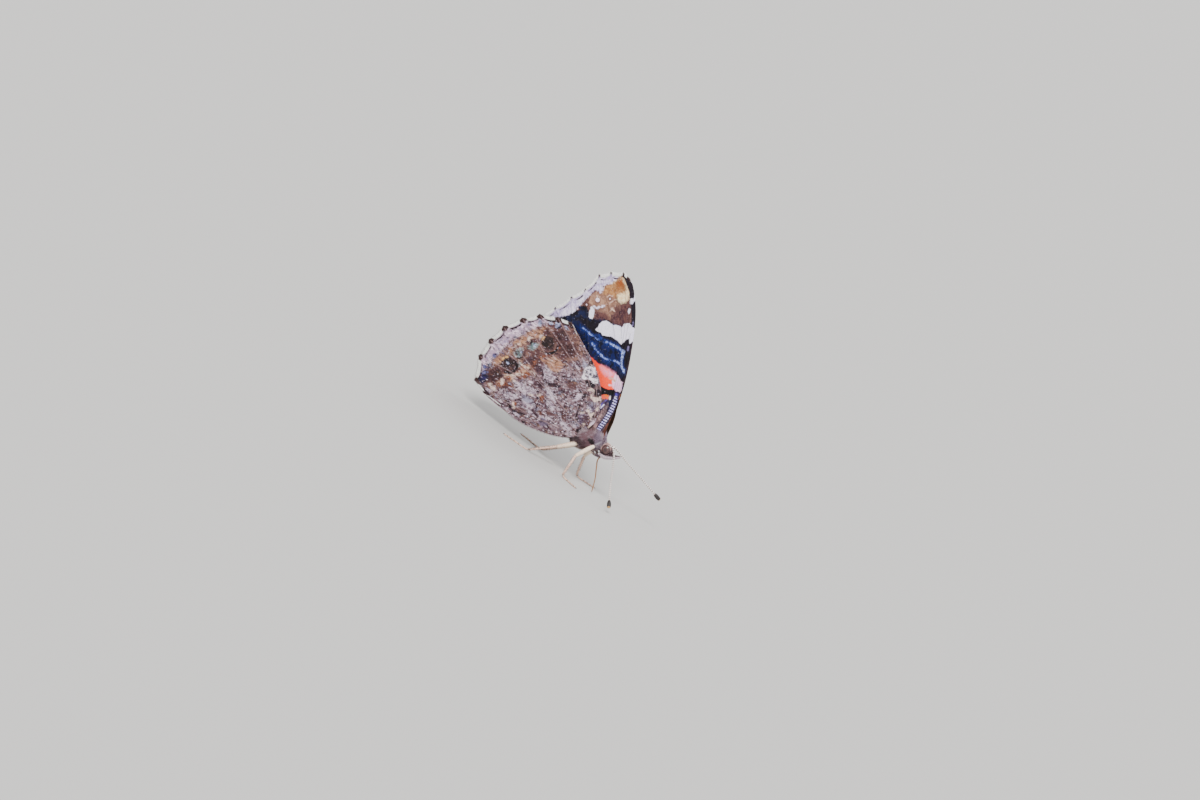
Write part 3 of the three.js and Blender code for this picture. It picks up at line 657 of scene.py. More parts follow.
# The marks under the hindwing
hindMarks = {
    "outerBrown": mark((142, 112, 104), (92, 66, 68), 0.9, 2.0, [
        area((12.2, -9.5), (17, -11.5), (20, -10), (22, -8), (23, -4), (23.2, 0), (23, 4), (22, 8),
            (19.5, 10.5), (17.8, 8), (17, 5), (15.4, 1), (14.4, -2), (12.6, -5.5))]),
    "tanWash": mark((196, 162, 142), (146, 110, 98), 0.5, 1.2, [
        area((13.0, -5.0), (15.2, -4.6), (16.4, -3.0), (16.2, -2.2), (14.0, -2.4), (13.0, -3.4)),
        area((16.9, 1.0), (19.0, 1.3), (18.6, 2.6), (18.4, 4.0), (17.6, 3.2), (16.8, 2.2)),
        area((17.0, 4.6), (19.2, 5.0), (19.4, 6.2), (18.0, 6.0), (17.2, 5.4)),
        area((20.6, -4.8), (22.4, -4.6), (22.9, -3.2), (21.4, -3.3)), spot(22.2, -1.6, 0.6, 1.2),
        spot(17.5, 0.9, 1.3, 0.35, 15), spot(19.3, 7.6, 0.8, 0.6)]),
    "umber": mark((90, 64, 64), (66, 46, 50), 0.5, 1.2, [
        area((15.4, -1.6), (18.4, -1.4), (18.9, 0.2), (16.8, 0.5), (15.2, -0.2)), spot(18.0, -7.4, 1.3, 1.0),
        area((19.2, 6.2), (21.6, 5.6), (21.9, 7.8), (20.6, 9.4), (19.4, 8.6)), spot(16.2, -6.8, 0.9, 1.2),
        spot(20.2, -6.4, 0.7, 0.35), spot(14.6, -7.6, 1.2, 1.6), spot(17.4, 7.2, 1.1, 0.35, 30)]),
    "palePatch": mark((208, 194, 204), (132, 114, 126), 0.6, 1.5, [
        area((12.6, -1.8), (16.2, -1.9), (16.4, -1.0), (14.8, -0.6), (13.2, 0.2), (12.2, -0.4)),
        area((7.8, 1.6), (10.0, 0.6), (12.2, 0.2), (12.4, 0.9), (10.4, 1.8), (8.6, 2.9), (7.6, 2.8)),
        area((12.0, 2.8), (15.2, 3.6), (17.6, 4.6), (17.2, 5.4), (14.8, 5.0), (12.4, 4.2)),
        spot(12.0, 6.0, 1.9, 0.8, 25), spot(15.6, 7.4, 1.6, 0.5, 30), spot(4.0, 2.4, 1.6, 0.5, -20),
        spot(2.6, 1.0, 0.8, 0.4, 40), spot(7.0, 4.6, 1.3, 0.4, 30), spot(15.3, 9.5, 0.9, 0.25)]),
    "baseBlob": mark((122, 108, 126), (74, 60, 74), 0.3, 1.0, [
        spot(2.3, -0.9, 0.9, 1.2), spot(2.9, -4.0, 0.9, 0.9), spot(7.0, 5.6, 1.0, 0.7, 30)]),
    "baseBrown": mark((108, 80, 80), (74, 52, 56), 0.2, 0.8, [
        spot(1.1, -3.4, 0.45, 0.6), spot(0.7, -1.1, 0.4, 0.7), spot(1.1, 1.2, 0.4, 0.7),
        spot(5.8, -4.4, 0.45, 0.7), spot(9.4, 4.8, 0.6, 0.3, -20), spot(12.2, 7.8, 1.2, 0.3, 35),
        spot(7.4, 3.4, 0.9, 0.3, 40), spot(5.2, 1.6, 1.2, 0.5, -20), spot(9.0, -3.6, 1.1, 0.7)]),
    "basePale": mark((212, 196, 208), (150, 130, 144), 0.2, 0.8, [
        spot(0.15, -2.0, 0.3, 0.6), spot(0.2, 1.1, 0.25, 0.5), spot(1.9, 0.35, 0.4, 0.3),
        spot(3.0, -3.5, 0.35, 0.3), spot(6.2, -3.0, 0.5, 0.9), spot(9.8, 6.4, 0.8, 0.25, 30)]),
    "costaGrey": mark((126, 104, 106), (86, 66, 74), 0.3, 0.7, [
        area((4.8, -7.6), (6, -8.2), (7, -6.6), (6.4, -5.2), (5, -4.6), (4.2, -5.6))]),
    "bluish": mark((164, 158, 174), (116, 108, 124), 0.3, 0.9, [
        spot(3.1, -4.2, 0.5, 0.6), spot(12.6, 5.2, 1.7, 0.6, 20), spot(9.5, 4.9, 1.0, 0.35, 10),
        spot(1.9, 0.5, 0.6, 0.4), spot(10.2, -8.2, 0.7, 0.7)]),
    "dark": mark((50, 36, 44), (34, 26, 34), 0.2, 0.6, [
        area((3.5, -7.2), (4.6, -7.3), (5.3, -6.6), (4.9, -5.9), (4.0, -5.8), (3.5, -6.3)),
        area((5.7, -7.3), (6.6, -7.1), (7.6, -6.7), (8.0, -6.1), (7.2, -5.9), (6.2, -6.1), (5.6, -6.6)),
        stroke(0.24, (10.4, -1.4), (11.0, -0.9), (11.8, -0.3), (12.7, 0)),
        stroke(0.18, (4.6, -2.2), (4.1, -1.4), (3.4, -0.4), (2.6, 0)), spot(1.1, -3.2, 0.35, 0.4),
        spot(1.0, 1.2, 0.4, 0.6), spot(5.6, -4.2, 0.35, 0.6), spot(9.9, -9.4, 0.5, 0.7),
        stroke(0.3, (13.9, 9.0), (14.8, 8.7), (15.4, 8.9)), stroke(0.2, (10.6, 7.6), (12, 8.4), (13, 9.2))]),
    "plum": mark((92, 70, 78), (64, 46, 54), 0.4, 1.2, [
        area((12.4, 0.9), (13.6, 0.7), (14.4, 1.2), (14.4, 2.3), (14.1, 2.9), (13.3, 2.4), (12.6, 1.8)),
        spot(1.9, -1.4, 0.6, 0.6), spot(15.6, -0.3, 0.9, 0.7), spot(18.7, 0.5, 0.45, 1.3),
        spot(16.9, -8.5, 0.9, 0.6)]),
    "russet": mark((136, 90, 72), (108, 70, 62), 0.25, 0.6, [
        spot(10.9, 2.8, 0.5, 0.8), spot(8.9, 4.9, 0.6, 0.3), spot(17.2, -0.2, 0.3, 0.8, 20),
        stroke(0.24, (16.4, 1.8), (16.9, 2.2), (16.5, 2.8), (17.0, 3.6)), spot(13.8, 7.8, 0.5, 0.35),
        stroke(0.28, (17.0, 6.2), (18.1, 6.8), (18.8, 7.9)), spot(18.4, 5.6, 0.45, 0.4),
        stroke(0.2, (16.4, -6.4), (16.8, -3.6), (17.6, -2.0))]),
    "apricot": mark((180, 140, 118), (142, 104, 88), 0.5, 1.0, [
        spot(13.9, -3.9, 0.9, 0.8), stroke(0.22, (13.2, -2.9), (15.4, -2.5), (17, -2.2)),
        spot(21.0, -5.7, 0.45, 0.8), spot(22.25, -2.0, 0.4, 0.8), spot(22.9, -0.3, 0.35, 0.5),
        spot(22.55, 1.5, 0.35, 0.6), spot(22.4, 4.9, 0.4, 0.7), spot(21.4, -4.3, 0.5, 0.3)]),
    "creamLine": mark((222, 202, 192), (180, 156, 148), 0.2, 0.9, [
        area((2.4, -6.2), (3.1, -6.6), (3.6, -6.0), (4.2, -5.3), (5.0, -5.4), (4.3, -4.8), (3.5, -5.1)),
        stroke(0.14, (1.1, -2.1), (1.7, -2.9), (2.7, -2.9), (3.0, -2.1), (3.6, -1.4)),
        stroke(0.16, (0.3, 0.2), (0.8, 0.1), (1.3, -0.6)), stroke(0.1, (-0.4, -1.4), (0.2, -0.9)),
        stroke(0.12, (1.6, -2.9), (1.5, -3.9), (2.0, -4.9)), ring(5.3, -5.6, 0.6, 0.1),
        stroke(0.14, (11.6, 2.6), (12.6, 3.8), (13.2, 4.6)), stroke(0.13, (16.6, 4.4), (17.4, 4.9)),
        stroke(0.14, (15.4, 0.8), (17.6, 1.3), (19.3, 1.9)),
        stroke(0.13, (17.3, 2.8), (18.2, 4.2), (19.2, 5.2)), spot(20.35, -5.2, 0.2, 0.5),
        spot(21.6, -2.7, 0.3, 0.5), spot(22.35, 0.3, 0.2, 0.45), spot(18.9, 6.8, 0.3, 0.6, 40),
        spot(19.2, 9.2, 0.5, 0.3), spot(20.9, -10.5, 0.5, 0.2), stroke(0.13, (12.8, 8.6), (14.2, 8.0)),
        spot(16.3, -4.9, 0.16, 0.2)]),
    "white": mark((242, 234, 240), (220, 210, 220), 0.15, 0.4, [
        area((5.6, -7.9), (7.2, -8.6), (8.6, -9.5), (9.8, -8.5), (9.8, -7.6), (9.1, -6.6), (8.7, -5.9),
            (8.2, -6.2), (7.9, -6.8), (7.1, -7.2), (6.5, -7.1))]),
    "greyPatch": mark((112, 110, 126), (50, 42, 54), 0.15, 0.9, [
        spot(7.3, -8.3, 0.5, 0.4), spot(8.3, -7.9, 0.35, 0.5, 30), spot(8.9, -7.6, 0.4, 0.25),
        spot(8.9, -8.5, 0.3, 0.2), spot(8.2, -7.1, 0.25, 0.15), spot(9.3, -8.0, 0.15, 0.25)]),
    "band": mark((236, 216, 228), (174, 152, 170), 0.5, 1.4, [
        area((21.6, -8.2), (22.4, -8.0), (24, -6), (25.1, -3.6), (25.7, -0.4), (25.9, 2), (25.6, 5),
            (24.8, 7.4), (23.6, 9.2), (22.9, 10.6), (22.4, 10.1), (22.7, 8.2), (23.1, 6.4), (23.5, 4),
            (23.7, 1.6), (23.5, -1.2), (22.9, -3.6), (22.3, -5.6), (21.2, -7.2)),
        stroke(0.3, (20.4, -12.2), (21.2, -11.6), (22.2, -10.9))]),
    "bandShade": mark((164, 148, 172), (136, 118, 142), 0.4, 1.1, [
        spot(23.6, -4.3, 0.35, 0.5), spot(23.7, -2.5, 0.7, 0.3), spot(24.0, 0.9, 0.8, 0.25),
        stroke(0.16, (24.3, -0.4), (24.2, 2.2)), spot(24.4, 3.2, 0.7, 0.2), spot(23.3, -6.3, 0.3, 0.5),
        spot(24.0, 6.4, 0.5, 0.3), stroke(0.12, (24.9, -3.4), (25.1, -1.2)), spot(24.9, 1.8, 0.2, 0.7)]),
    "bandBlue": mark((112, 112, 152), (74, 70, 104), 0.3, 1.0, [
        spot(23.5, 4.7, 0.45, 0.5), spot(22.9, 7.6, 0.7, 0.45, 60), spot(22.2, 8.6, 0.4, 0.6),
        spot(21.8, 10.2, 0.6, 0.7)]),
    "square": mark((190, 190, 214), (112, 116, 142), 0.2, 0.8, [
        spot(19.7, -8.8, 0.55, 0.75), spot(22.4, -6.5, 0.55, 0.65, 30), spot(18.4, -9.9, 0.5, 0.3),
        spot(20.8, -7.9, 0.5, 0.35)]),
    "tornusBlack": mark((30, 28, 40), (52, 44, 82), 0.25, 0.5, [
        area((20.9, 8.4), (21.6, 8.2), (22.1, 9.0), (22.4, 10.6), (22.0, 12), (20.6, 12), (20.7, 10)),
        area((19.3, -11.6), (20.2, -12.4), (20.9, -11.2), (21.2, -10.4), (20.2, -10.6)),
        stroke(0.2, (19.1, -9.3), (19.2, -8.4)), stroke(0.16, (20.4, -9.6), (20.9, -8.6)),
        stroke(0.2, (20.4, -10.2), (21.6, -9.6))]),
    "eyeBrown": mark((98, 76, 74), (62, 46, 52), 0.5, 0.8, [
        spot(18.3, -5.1, 1.35, 1.2), spot(20.5, 3.7, 1.55, 1.5), spot(17.9, -8.6, 0.8, 0.7)]),
    "eyeGreen": mark((156, 166, 168), (86, 98, 100), 0.3, 1.2, [
        spot(20.2, -2.4, 0.75, 0.95), spot(20.9, 0.6, 0.75, 0.9), stroke(0.12, (18.9, 2.2), (19.3, 2.0))]),
    "eyeDusk": mark((48, 38, 38), (70, 54, 54), 0.6, 0.9, [
        spot(18.8, -5.2, 1.3, 1.15), spot(20.6, 3.85, 1.05, 1.15), spot(20.6, 6.6, 0.6, 0.55)]),
    "swirl": mark((72, 52, 60), (48, 35, 42), 0.15, 0.7, [
        stroke(0.16, (16.0, 8.9), (15.3, 8.5), (14.5, 8.7), (14.4, 9.5), (15.0, 9.8)),
        stroke(0.15, (14.2, 7.3), (13.8, 6.6), (13.0, 6.5), (12.7, 7.1), (13.1, 7.7)),
        stroke(0.15, (11.7, 5.4), (11.4, 4.6), (10.7, 4.4), (10.1, 4.9), (10.2, 5.6)),
        stroke(0.14, (9.9, 6.9), (9.7, 6.0), (8.7, 5.7), (8.3, 6.4)),
        stroke(0.12, (13.5, 9.1), (12.0, 8.6), (10.6, 7.7)),
        stroke(0.24, (13.3, -0.1), (12.2, 0.0), (11.4, -0.6), (11.1, -1.4)),
        stroke(0.12, (16.1, -0.8), (14.8, -0.7), (14.1, -0.1))]),
    "eyeBlack": mark((28, 20, 24), (44, 32, 36), 0.2, 0.4, [
        stroke(0.24, (17.5, -3.5), (17.0, -3.8), (16.6, -4.4), (16.4, -5.0)),
        stroke(0.2, (16.4, -5.0), (16.5, -5.8), (16.8, -6.3)),
        stroke(0.14, (19.8, 0.3), (20.0, 1.1), (20.4, 1.6)), spot(20.9, -2.6, 0.2, 0.35),
        stroke(0.3, (20.4, 2.25), (19.6, 2.4), (19.0, 2.9), (18.8, 3.7), (19.1, 4.6), (19.8, 5.2)),
        spot(20.7, 3.8, 0.45, 0.5), spot(20.6, 6.6, 0.35, 0.3), spot(21.1, 1.1, 0.3, 0.25)]),
    "eyeGold": mark((214, 178, 136), (190, 146, 110), 0.2, 0.6, [
        stroke(0.14, (21.7, 2.9), (22.0, 3.7), (21.9, 4.6)), spot(19.9, -5.0, 0.2, 0.4)]),
    "eyePale": mark((206, 212, 236), (150, 160, 196), 0.2, 0.6, [
        spot(20.75, 3.7, 0.24, 0.28), spot(20.8, 0.15, 0.3, 0.2), spot(20.1, -2.8, 0.3, 0.22)]),
    "marginLine": mark((44, 30, 36), (70, 50, 54), 0.12, 0.25, marginDashes("hind", 0.15, 0.6)),
    "tooth": mark((66, 42, 42), (52, 34, 38), 0.2, 0.3, [
        spot(*polar(vein["reach"] - 1.0, vein["angle"]), 0.62, 0.5)
        for vein in wingPlan["hind"]["veins"].values()]),
    "redBit": mark((236, 142, 100), (214, 118, 84), 0.14, 0.15, [spot(25.9, -1.15, 0.28, 0.3)]),
}

# The marks above the wings, on the faces that are turned to each other
foreUpper = {
    "baseBrown": mark((82, 58, 40), (60, 42, 32), 2.5, 1.0, [
        area((-2, -3), (7, -3), (9, 2), (9, 9), (4, 6), (-2, 3))]),
    "redUpper": mark((226, 74, 34), (204, 58, 28), 0.2, 0.4, [
        area((10.4, -2.2), (12.0, -1.9), (12.9, 0), (14.4, 3.3), (16.6, 6.6), (19.8, 11.2), (19.4, 13.4),
            (17, 13), (13.4, 8), (11, 4), (10.1, 1.6), (9.8, -0.6))]),
    "white": mark((244, 240, 238), (230, 224, 226), 0.15, 0.3, [
        area((18.9, -3.3), (21.6, -3.6), (22.4, -2.6), (21.6, -1), (21.8, 1.2), (22, 2.6), (20.6, 3.4),
            (19.9, 1.8), (19.3, -0.6)), spot(26.9, -2.0, 0.5, 0.6), spot(26.7, -0.3, 0.45, 0.5),
        spot(26.3, 1.6, 0.45, 0.5), spot(25.4, 4.4, 0.7, 0.7), spot(23.8, 5.9, 0.8, 0.5)]),
    "blueScale": mark((70, 84, 130), (48, 56, 92), 0.5, 0.6, [
        stroke(0.18, (30.4, 1.5), (29.6, 4.5), (28, 7.4), (26, 9.9))]),
}

hindUpper = {
    "baseBrown": mark((88, 64, 44), (62, 44, 34), 3.0, 1.0, [
        area((-2, -4), (9, -6), (13, 0), (12, 8), (4, 6), (-2, 3))]),
    "redUpper": mark((226, 84, 38), (206, 64, 30), 0.2, 0.4, [
        area((20.6, -9.2), (22.3, -8.2), (24.4, -5.6), (25.6, -3), (26, 0), (26, 3), (25.3, 6.2), (24, 8.8),
            (22.2, 8.2), (22.9, 5), (23.2, 2), (23.1, -1), (22.3, -4.4), (20.9, -7))]),
    "blackDot": mark((24, 18, 18), (18, 14, 16), 0.15, 0.2, [
        spot(22.5, -6.6, 0.5, 0.5), spot(23.9, -2.4, 0.55, 0.55), spot(24.4, 1.6, 0.55, 0.55),
        spot(24.0, 5.4, 0.55, 0.55)]),
    "blueScale": mark((92, 112, 182), (70, 84, 140), 0.2, 0.3, [
        spot(22.9, 9.4, 0.5, 0.5), spot(22.0, 10.2, 0.4, 0.4)]),
}


def drawWingFinish(name, face, marks, look):
    # the ground colours, then every mark over them, then veins and the shade of the fine scales
    finish = Finish(name, Roughness=0.6, Specular_IOR_Level=0.18)
    plane = finish.field("plane", 1)
    turned = finish.node("ShaderNodeMapping", {"vector_type": "TEXTURE"}, {
        "Vector": plane, "Rotation": (0, 0, look["turn"]), "Scale": (look["stretch"], 1, 1)})
    coarse = finish.noise(turned, 0.8, 4.0, 0.66) - 0.5
    flecks = finish.noise(turned, look["fleckScale"], 3.0, 0.7) - 0.5
    grain = finish.noise(plane, 6.5, 2.0, 0.6) - 0.5
    scales = finish.cells(finish.stretch(plane, (0.8, 1.5, 1)), 8.0)
    tone = finish.ramp(coarse * 0.7 + flecks * 0.8 + grain * 0.3, -look["toneSpread"], look["toneSpread"])
    colour = finish.blend(look["ground"][0], look["ground"][1], tone)
    for scale, patchTint, low, high in look["patches"]:
        patch = finish.ramp(finish.noise(turned, scale, 4.0, 0.72), low, high)
        colour = finish.blend(colour, patchTint, patch)
    wander = coarse * 1.5 + flecks * 1.6 + grain * 0.7
    for key, drawn in marks.items():
        edge = finish.field(face + key) + wander * drawn["ragged"]
        mask = finish.ramp(edge, drawn["soft"] / 2, -drawn["soft"] / 2)
        if drawn["broken"] is not None:
            mask = mask * finish.ramp(flecks + grain * 0.6, -drawn["broken"], 0.1 - drawn["broken"])
        if drawn["striped"] is not None:
            spacing, lean = drawn["striped"]
            way = (2 * pi / spacing, -2 * pi * lean / spacing, 0)
            settings = {"operation": "DOT_PRODUCT"}
            across = finish.node("ShaderNodeVectorMath", settings, {0: plane, 1: way}, "Value")
            wave = finish.node("ShaderNodeMath", {"operation": "SINE"}, {0: across})
            mask = mask * finish.ramp(wave, 0.0, 0.35)
        over = finish.blend(drawn["tones"][0], drawn["tones"][1], tone)
        colour = finish.blend(colour, over, mask)
    for scale, speckTint, low, high, shows in look["specks"]:
        speck = finish.ramp(finish.noise(turned, scale, 2.0, 0.6), low, high)
        colour = finish.blend(colour, speckTint, speck * shows)
    vein = finish.ramp(finish.field("vein") + grain * 0.1, 0.2, 0.05)
    colour = finish.blend(colour, look["veinTint"], vein * look["veinShows"])
    shade = 1.0 + grain * look["grainShade"] + flecks * look["fleckShade"] - scales * 0.12
    finish.give("Base Color", finish.darken(colour, shade))
    finish.give("Roughness", 0.6 + grain * 0.5)
    finish.bump(scales * 0.4 + flecks * 1.2, 0.03 * mm, 0.7)
    return finish


# "turn" and "stretch" lay the mottling along the wing. "patches" are (scale, tint, from, full) over the
# ground, and "specks" are (scale, tint, from, full, how much they show) over the marks
upperLook = {
    "turn": 0.3, "stretch": 1.3, "fleckScale": 2.4, "patches": [], "specks": [], "toneSpread": 0.12,
    "veinShows": 0.35, "grainShade": 0.8, "fleckShade": 0.5,
}
foreLook = {
    "ground": ((36, 26, 40), (18, 13, 22)), "turn": 0.3, "stretch": 1.3, "fleckScale": 2.4,
    "patches": [(0.3, (34, 40, 74), 0.5, 0.6)],
    "specks": [(3.1, (230, 220, 236), 0.66, 0.72, 0.25), (2.3, (30, 22, 30), 0.64, 0.7, 0.4)],
    "toneSpread": 0.08, "veinTint": (30, 20, 26), "veinShows": 0.25, "grainShade": 0.9, "fleckShade": 0.7,
}
hindLook = {
    "ground": ((150, 128, 134), (100, 78, 84)), "turn": 0.42, "stretch": 1.7, "fleckScale": 1.5,
    "patches": [
        (0.5, (84, 62, 70), 0.5, 0.55), (0.85, (124, 96, 86), 0.56, 0.61),
        (1.0, (192, 176, 188), 0.56, 0.61), (0.8, (150, 146, 162), 0.58, 0.63),
        (1.6, (44, 30, 38), 0.56, 0.605), (2.3, (236, 226, 234), 0.6, 0.65),
    ],
    "specks": [
        (2.9, (216, 202, 212), 0.6, 0.66, 0.5), (2.1, (40, 28, 34), 0.57, 0.63, 0.72),
        (1.7, (120, 92, 82), 0.62, 0.67, 0.5),
    ],
    "toneSpread": 0.06, "veinTint": (186, 160, 160), "veinShows": 0.28, "grainShade": 1.3, "fleckShade": 1.4,
}
foreUpperLook = {"ground": ((44, 32, 27), (26, 20, 21)), "veinTint": (18, 12, 12), **upperLook}
hindUpperLook = {"ground": ((58, 44, 35), (34, 26, 24)), "veinTint": (26, 18, 16), **upperLook}
wingFaces = {
    "fore": (("foreUnderside", "under_", foreMarks, foreLook),
             ("foreUpperside", "upper_", foreUpper, foreUpperLook)),
    "hind": (("hindUnderside", "under_", hindMarks, hindLook),
             ("hindUpperside", "upper_", hindUpper, hindUpperLook)),
}
wingFinish = {kind: [drawWingFinish(*face) for face in faces] for kind, faces in wingFaces.items()}


def addWing(kind, side, grid, fields):
    plan = wingPlan[kind]
    rows, columns = grid["relief"].shape
    along = grid["t"][:, None] + 0 * grid["relief"]
    # thinner towards the edges of the wing
    rim = np.minimum(np.arange(columns), np.arange(columns)[::-1])[None, :] / 3
    rim = np.minimum(rim, (rows - 1 - np.arange(rows))[:, None] / 3)
    full = lerp(wingForm["edge"], wingForm["thickness"], np.clip(rim, 0, 1)) / 2
    outer, inner = wingForm["veinHeight"]
    relief = grid["relief"]
    faceOut = standWing(plan, side, grid["place"], full + relief * outer / 0.9, along)
    faceIn = standWing(plan, side, grid["place"], -full - np.maximum(relief, -0.06) * inner, along)
    points = np.concatenate([faceOut.reshape(-1, 3), faceIn.reshape(-1, 3)])
    count = rows * columns
    outFaces = gridFaces(rows, columns, 0, flip=side < 0)
    inFaces = gridFaces(rows, columns, count, flip=side > 0)
    top = np.arange(columns) + (rows - 1) * columns
    front = np.arange(rows) * columns
    loop = np.concatenate([np.arange(columns), front[1:] + columns - 1, top[::-1][1:], front[::-1][1:]])
    a, b = loop[:-1], loop[1:]
    rimFaces = np.stack([a, a + count, b + count, b], -1)
    if side < 0:
        rimFaces = rimFaces[:, ::-1]
    faces = np.concatenate([outFaces, inFaces, rimFaces])
    which = np.r_[np.zeros(len(outFaces)), np.ones(len(inFaces)), np.zeros(len(rimFaces))]
    plane = np.concatenate([grid["place"].reshape(-1, 2)] * 2)
    marks = {name: np.concatenate([values] * 2) for name, values in fields.items()}
    marks["plane"] = np.c_[plane, np.zeros(len(plane))]
    marks["vein"] = np.concatenate([grid["toVein"].ravel()] * 2)
    name = f"{kind}wing_{sideName(side)}"
    makePiece(f"{name}_skin", points, faces, wingFinish[kind], [name], marks, which)


wingGrids = {}
for kind, plan in wingPlan.items():
    wingGrids[kind] = wingGrid(plan)
    drawn = {}
    for _, face, marks, _ in wingFaces[kind]:
        drawn.update(markFields(face, marks, wingGrids[kind]["pattern"]))
    for side in (1, -1):
        addWing(kind, side, wingGrids[kind], drawn)
print("wings made")


# Tufts are tapered blades that hang a little, each with its own colour and its root's place on the unwrap
blade = {
    # a three-sided foot, a three-sided middle and a point
    "faces": [
        (0, 1, 4), (0, 4, 3), (1, 2, 5), (1, 5, 4), (2, 0, 3), (2, 3, 5), (3, 4, 6), (4, 5, 6), (5, 3, 6),
    ],
    "tipward": [0, 0, 0, 0.5, 0.5, 0.5, 1.0],
    "unwrap": [(0, 0), (1, 0), (0.5, 1), (0.2, 0.5), (0.8, 0.5), (0.5, 0.8), (0.5, 1)],
    "unwrapSize": 0.003, "hangs": (0, 0, -1.0), "most": 21000,
}


def addTufts(name, slot, finish, roots, ways, lengths, widths, tones, patches, curl=0.25):
    roots, ways = np.asarray(roots, float), np.asarray(ways, float)
    ways /= np.linalg.norm(ways, axis=1, keepdims=True)
    down = np.array(blade["hangs"])
    across = np.cross(ways, down + (1e-3, 2e-3, 3e-3))
    across /= np.linalg.norm(across, axis=1, keepdims=True)
    other = np.cross(ways, across)
    lengths, widths = np.asarray(lengths)[:, None], np.asarray(widths)[:, None]
    middle = roots + ways * lengths * 0.5 + down * lengths * curl * 0.25
    points = roots + ways * lengths * 0.95 + down * lengths * curl
    rings = []
    for centre, share in ((roots - ways * 0.05, 1.0), (middle, 0.8)):
        for k in range(3):
            turn = 2 * pi * k / 3
            rings.append(centre + (across * cos(turn) + other * sin(turn)) * widths * share / 2)
    block = np.stack([*rings, points], 1)
    pattern, most = np.array(blade["faces"]), blade["most"]
    corners = len(blade["tipward"])
    unwrap = np.array(blade["unwrap"]) * blade["unwrapSize"]
    for part, start in enumerate(range(0, len(roots), most)):
        end = min(start + most, len(roots))
        count = end - start
        faces = (pattern[None] + corners * np.arange(count)[:, None, None]).reshape(-1, 3)
        where = np.repeat(np.asarray(patches)[start:end], corners, axis=0) + np.tile(unwrap, (count, 1))
        fields = {
            "tone": np.repeat(np.asarray(tones)[start:end], corners, axis=0),
            "tipward": np.tile(blade["tipward"], count),
        }
        title = name if len(roots) <= most else f"{name}_{part + 1}"
        places = block[start:end].reshape(-1, 3)
        makePiece(title, places, faces, [finish], fields=fields, patch=where)


def drawFurFinish(name, paintedRootShade=0.5):
    finish = Finish(name, Roughness=0.75, Specular_IOR_Level=0.25, Sheen_Weight=0.15)
    tone = finish.field("tone", 0)
    mottle = finish.noise(finish.objectPlace(), 3.0, 2.0, 0.6)
    # each tuft is painted darker towards its root, painted shade deep in the coat
    shade = paintedRootShade + (1 - paintedRootShade) * finish.field("tipward") + (mottle - 0.5) * 0.5
    finish.give("Base Color", finish.darken(tone, shade))
    return finish


furFinish = drawFurFinish("fur")
fringeFinish = drawFurFinish("fringe", paintedRootShade=0.72)


def clumps(points, size, seed):
    # smooth random values from 0 to 1 through space
    wide = 32
    lattice = np.random.default_rng(seed).random((wide, wide, wide))
    low = np.floor(points / size).astype(int)
    share = points / size - low
    share = share * share * (3 - 2 * share)
    total = 0
    for corner in np.ndindex(2, 2, 2):
        weight = np.prod(np.where(np.array(corner), share, 1 - share), axis=1)
        total = total + weight * lattice[tuple(((low + corner) % wide).T)]
    return total


def roughTone(tone, chance, low, high):
    tone = np.clip(tone * chance.uniform(low, high, (len(tone), 1)), 0, 1)
    tone[:, 3] = 1
    return tone


# Hair scales along the wings' outer margins, pale between the veins and dark at their ends
fringe = {
    "pitch": 0.009, "width": 0.13, "edgeLength": 0.34, "edgePitch": 0.03, "edgeWidth": 0.06, "edgeFrom": 0.16,
    "cream": (255, 252, 248), "brown": (74, 46, 46), "edge": (190, 172, 176),
    "darkReach": {"fore": 0.26, "hind": 0.78}, "curl": 0.03, "rootDepth": 0.2, "scatter": 0.05,
    # dark hairs and some of the pale ones are shorter
    "short": 0.66, "shortShare": 0.4, "lengths": (0.92, 1.12), "shades": (0.86, 1.1),
    "edgeScatter": 0.12, "edgeLengths": (0.6, 1.2), "edgeShades": (0.5, 1.35),
}


def addFringe(kind, side):
    plan, grid, name = wingPlan[kind], wingGrids[kind], f"{kind}wing_{sideName(side)}"
    chance = np.random.default_rng(90 + len(plan["veins"]) + side)
    first, last = plan["fringed"]
    held = (grid["lineAt"] >= first) & (grid["lineAt"] <= last)
    inner, outer = grid["place"][-1][held], grid["margin"][held]
    steps = distanceAlong(inner)
    count = int(steps[-1] / fringe["pitch"])
    at = chance.random(count) * steps[-1]
    root, tip = sampleAt(inner, steps, at), sampleAt(outer, steps, at)
    toEnd = np.interp(at, steps, grid["toVeinEnd"][held])
    outwards = chance.uniform(-0.05, 0.05, count)
    start = standWing(plan, side, root - (tip - root) * fringe["rootDepth"], outwards, 1 + 0 * at)
    ways = standWing(plan, side, tip, outwards, 1 + 0 * at) - start
    reach = np.linalg.norm(ways, axis=1)
    dark = toEnd + chance.normal(0, 0.09, count) < fringe["darkReach"][kind]
    short = dark | (chance.random(count) < fringe["shortShare"])
    long = reach * np.where(short, fringe["short"], 1.0) * chance.uniform(*fringe["lengths"], count)
    tone = np.where(dark[:, None], np.array(tint(*fringe["brown"])), np.array(tint(*fringe["cream"])))
    patches = np.stack([at / steps[-1] * 0.9, chance.random(count) * 0.3], 1)
    ways = ways / reach[:, None] + chance.normal(0, fringe["scatter"], (count, 3))
    wide = np.full(count, fringe["width"])
    tone = roughTone(tone, chance, *fringe["shades"])
    addTufts(f"fringe_{name}", f"{kind}wing", fringeFinish, start, ways, long, wide, tone, patches,
             fringe["curl"])
    if kind == "hind":
        addInnerEdge(plan, grid, name, side, chance)


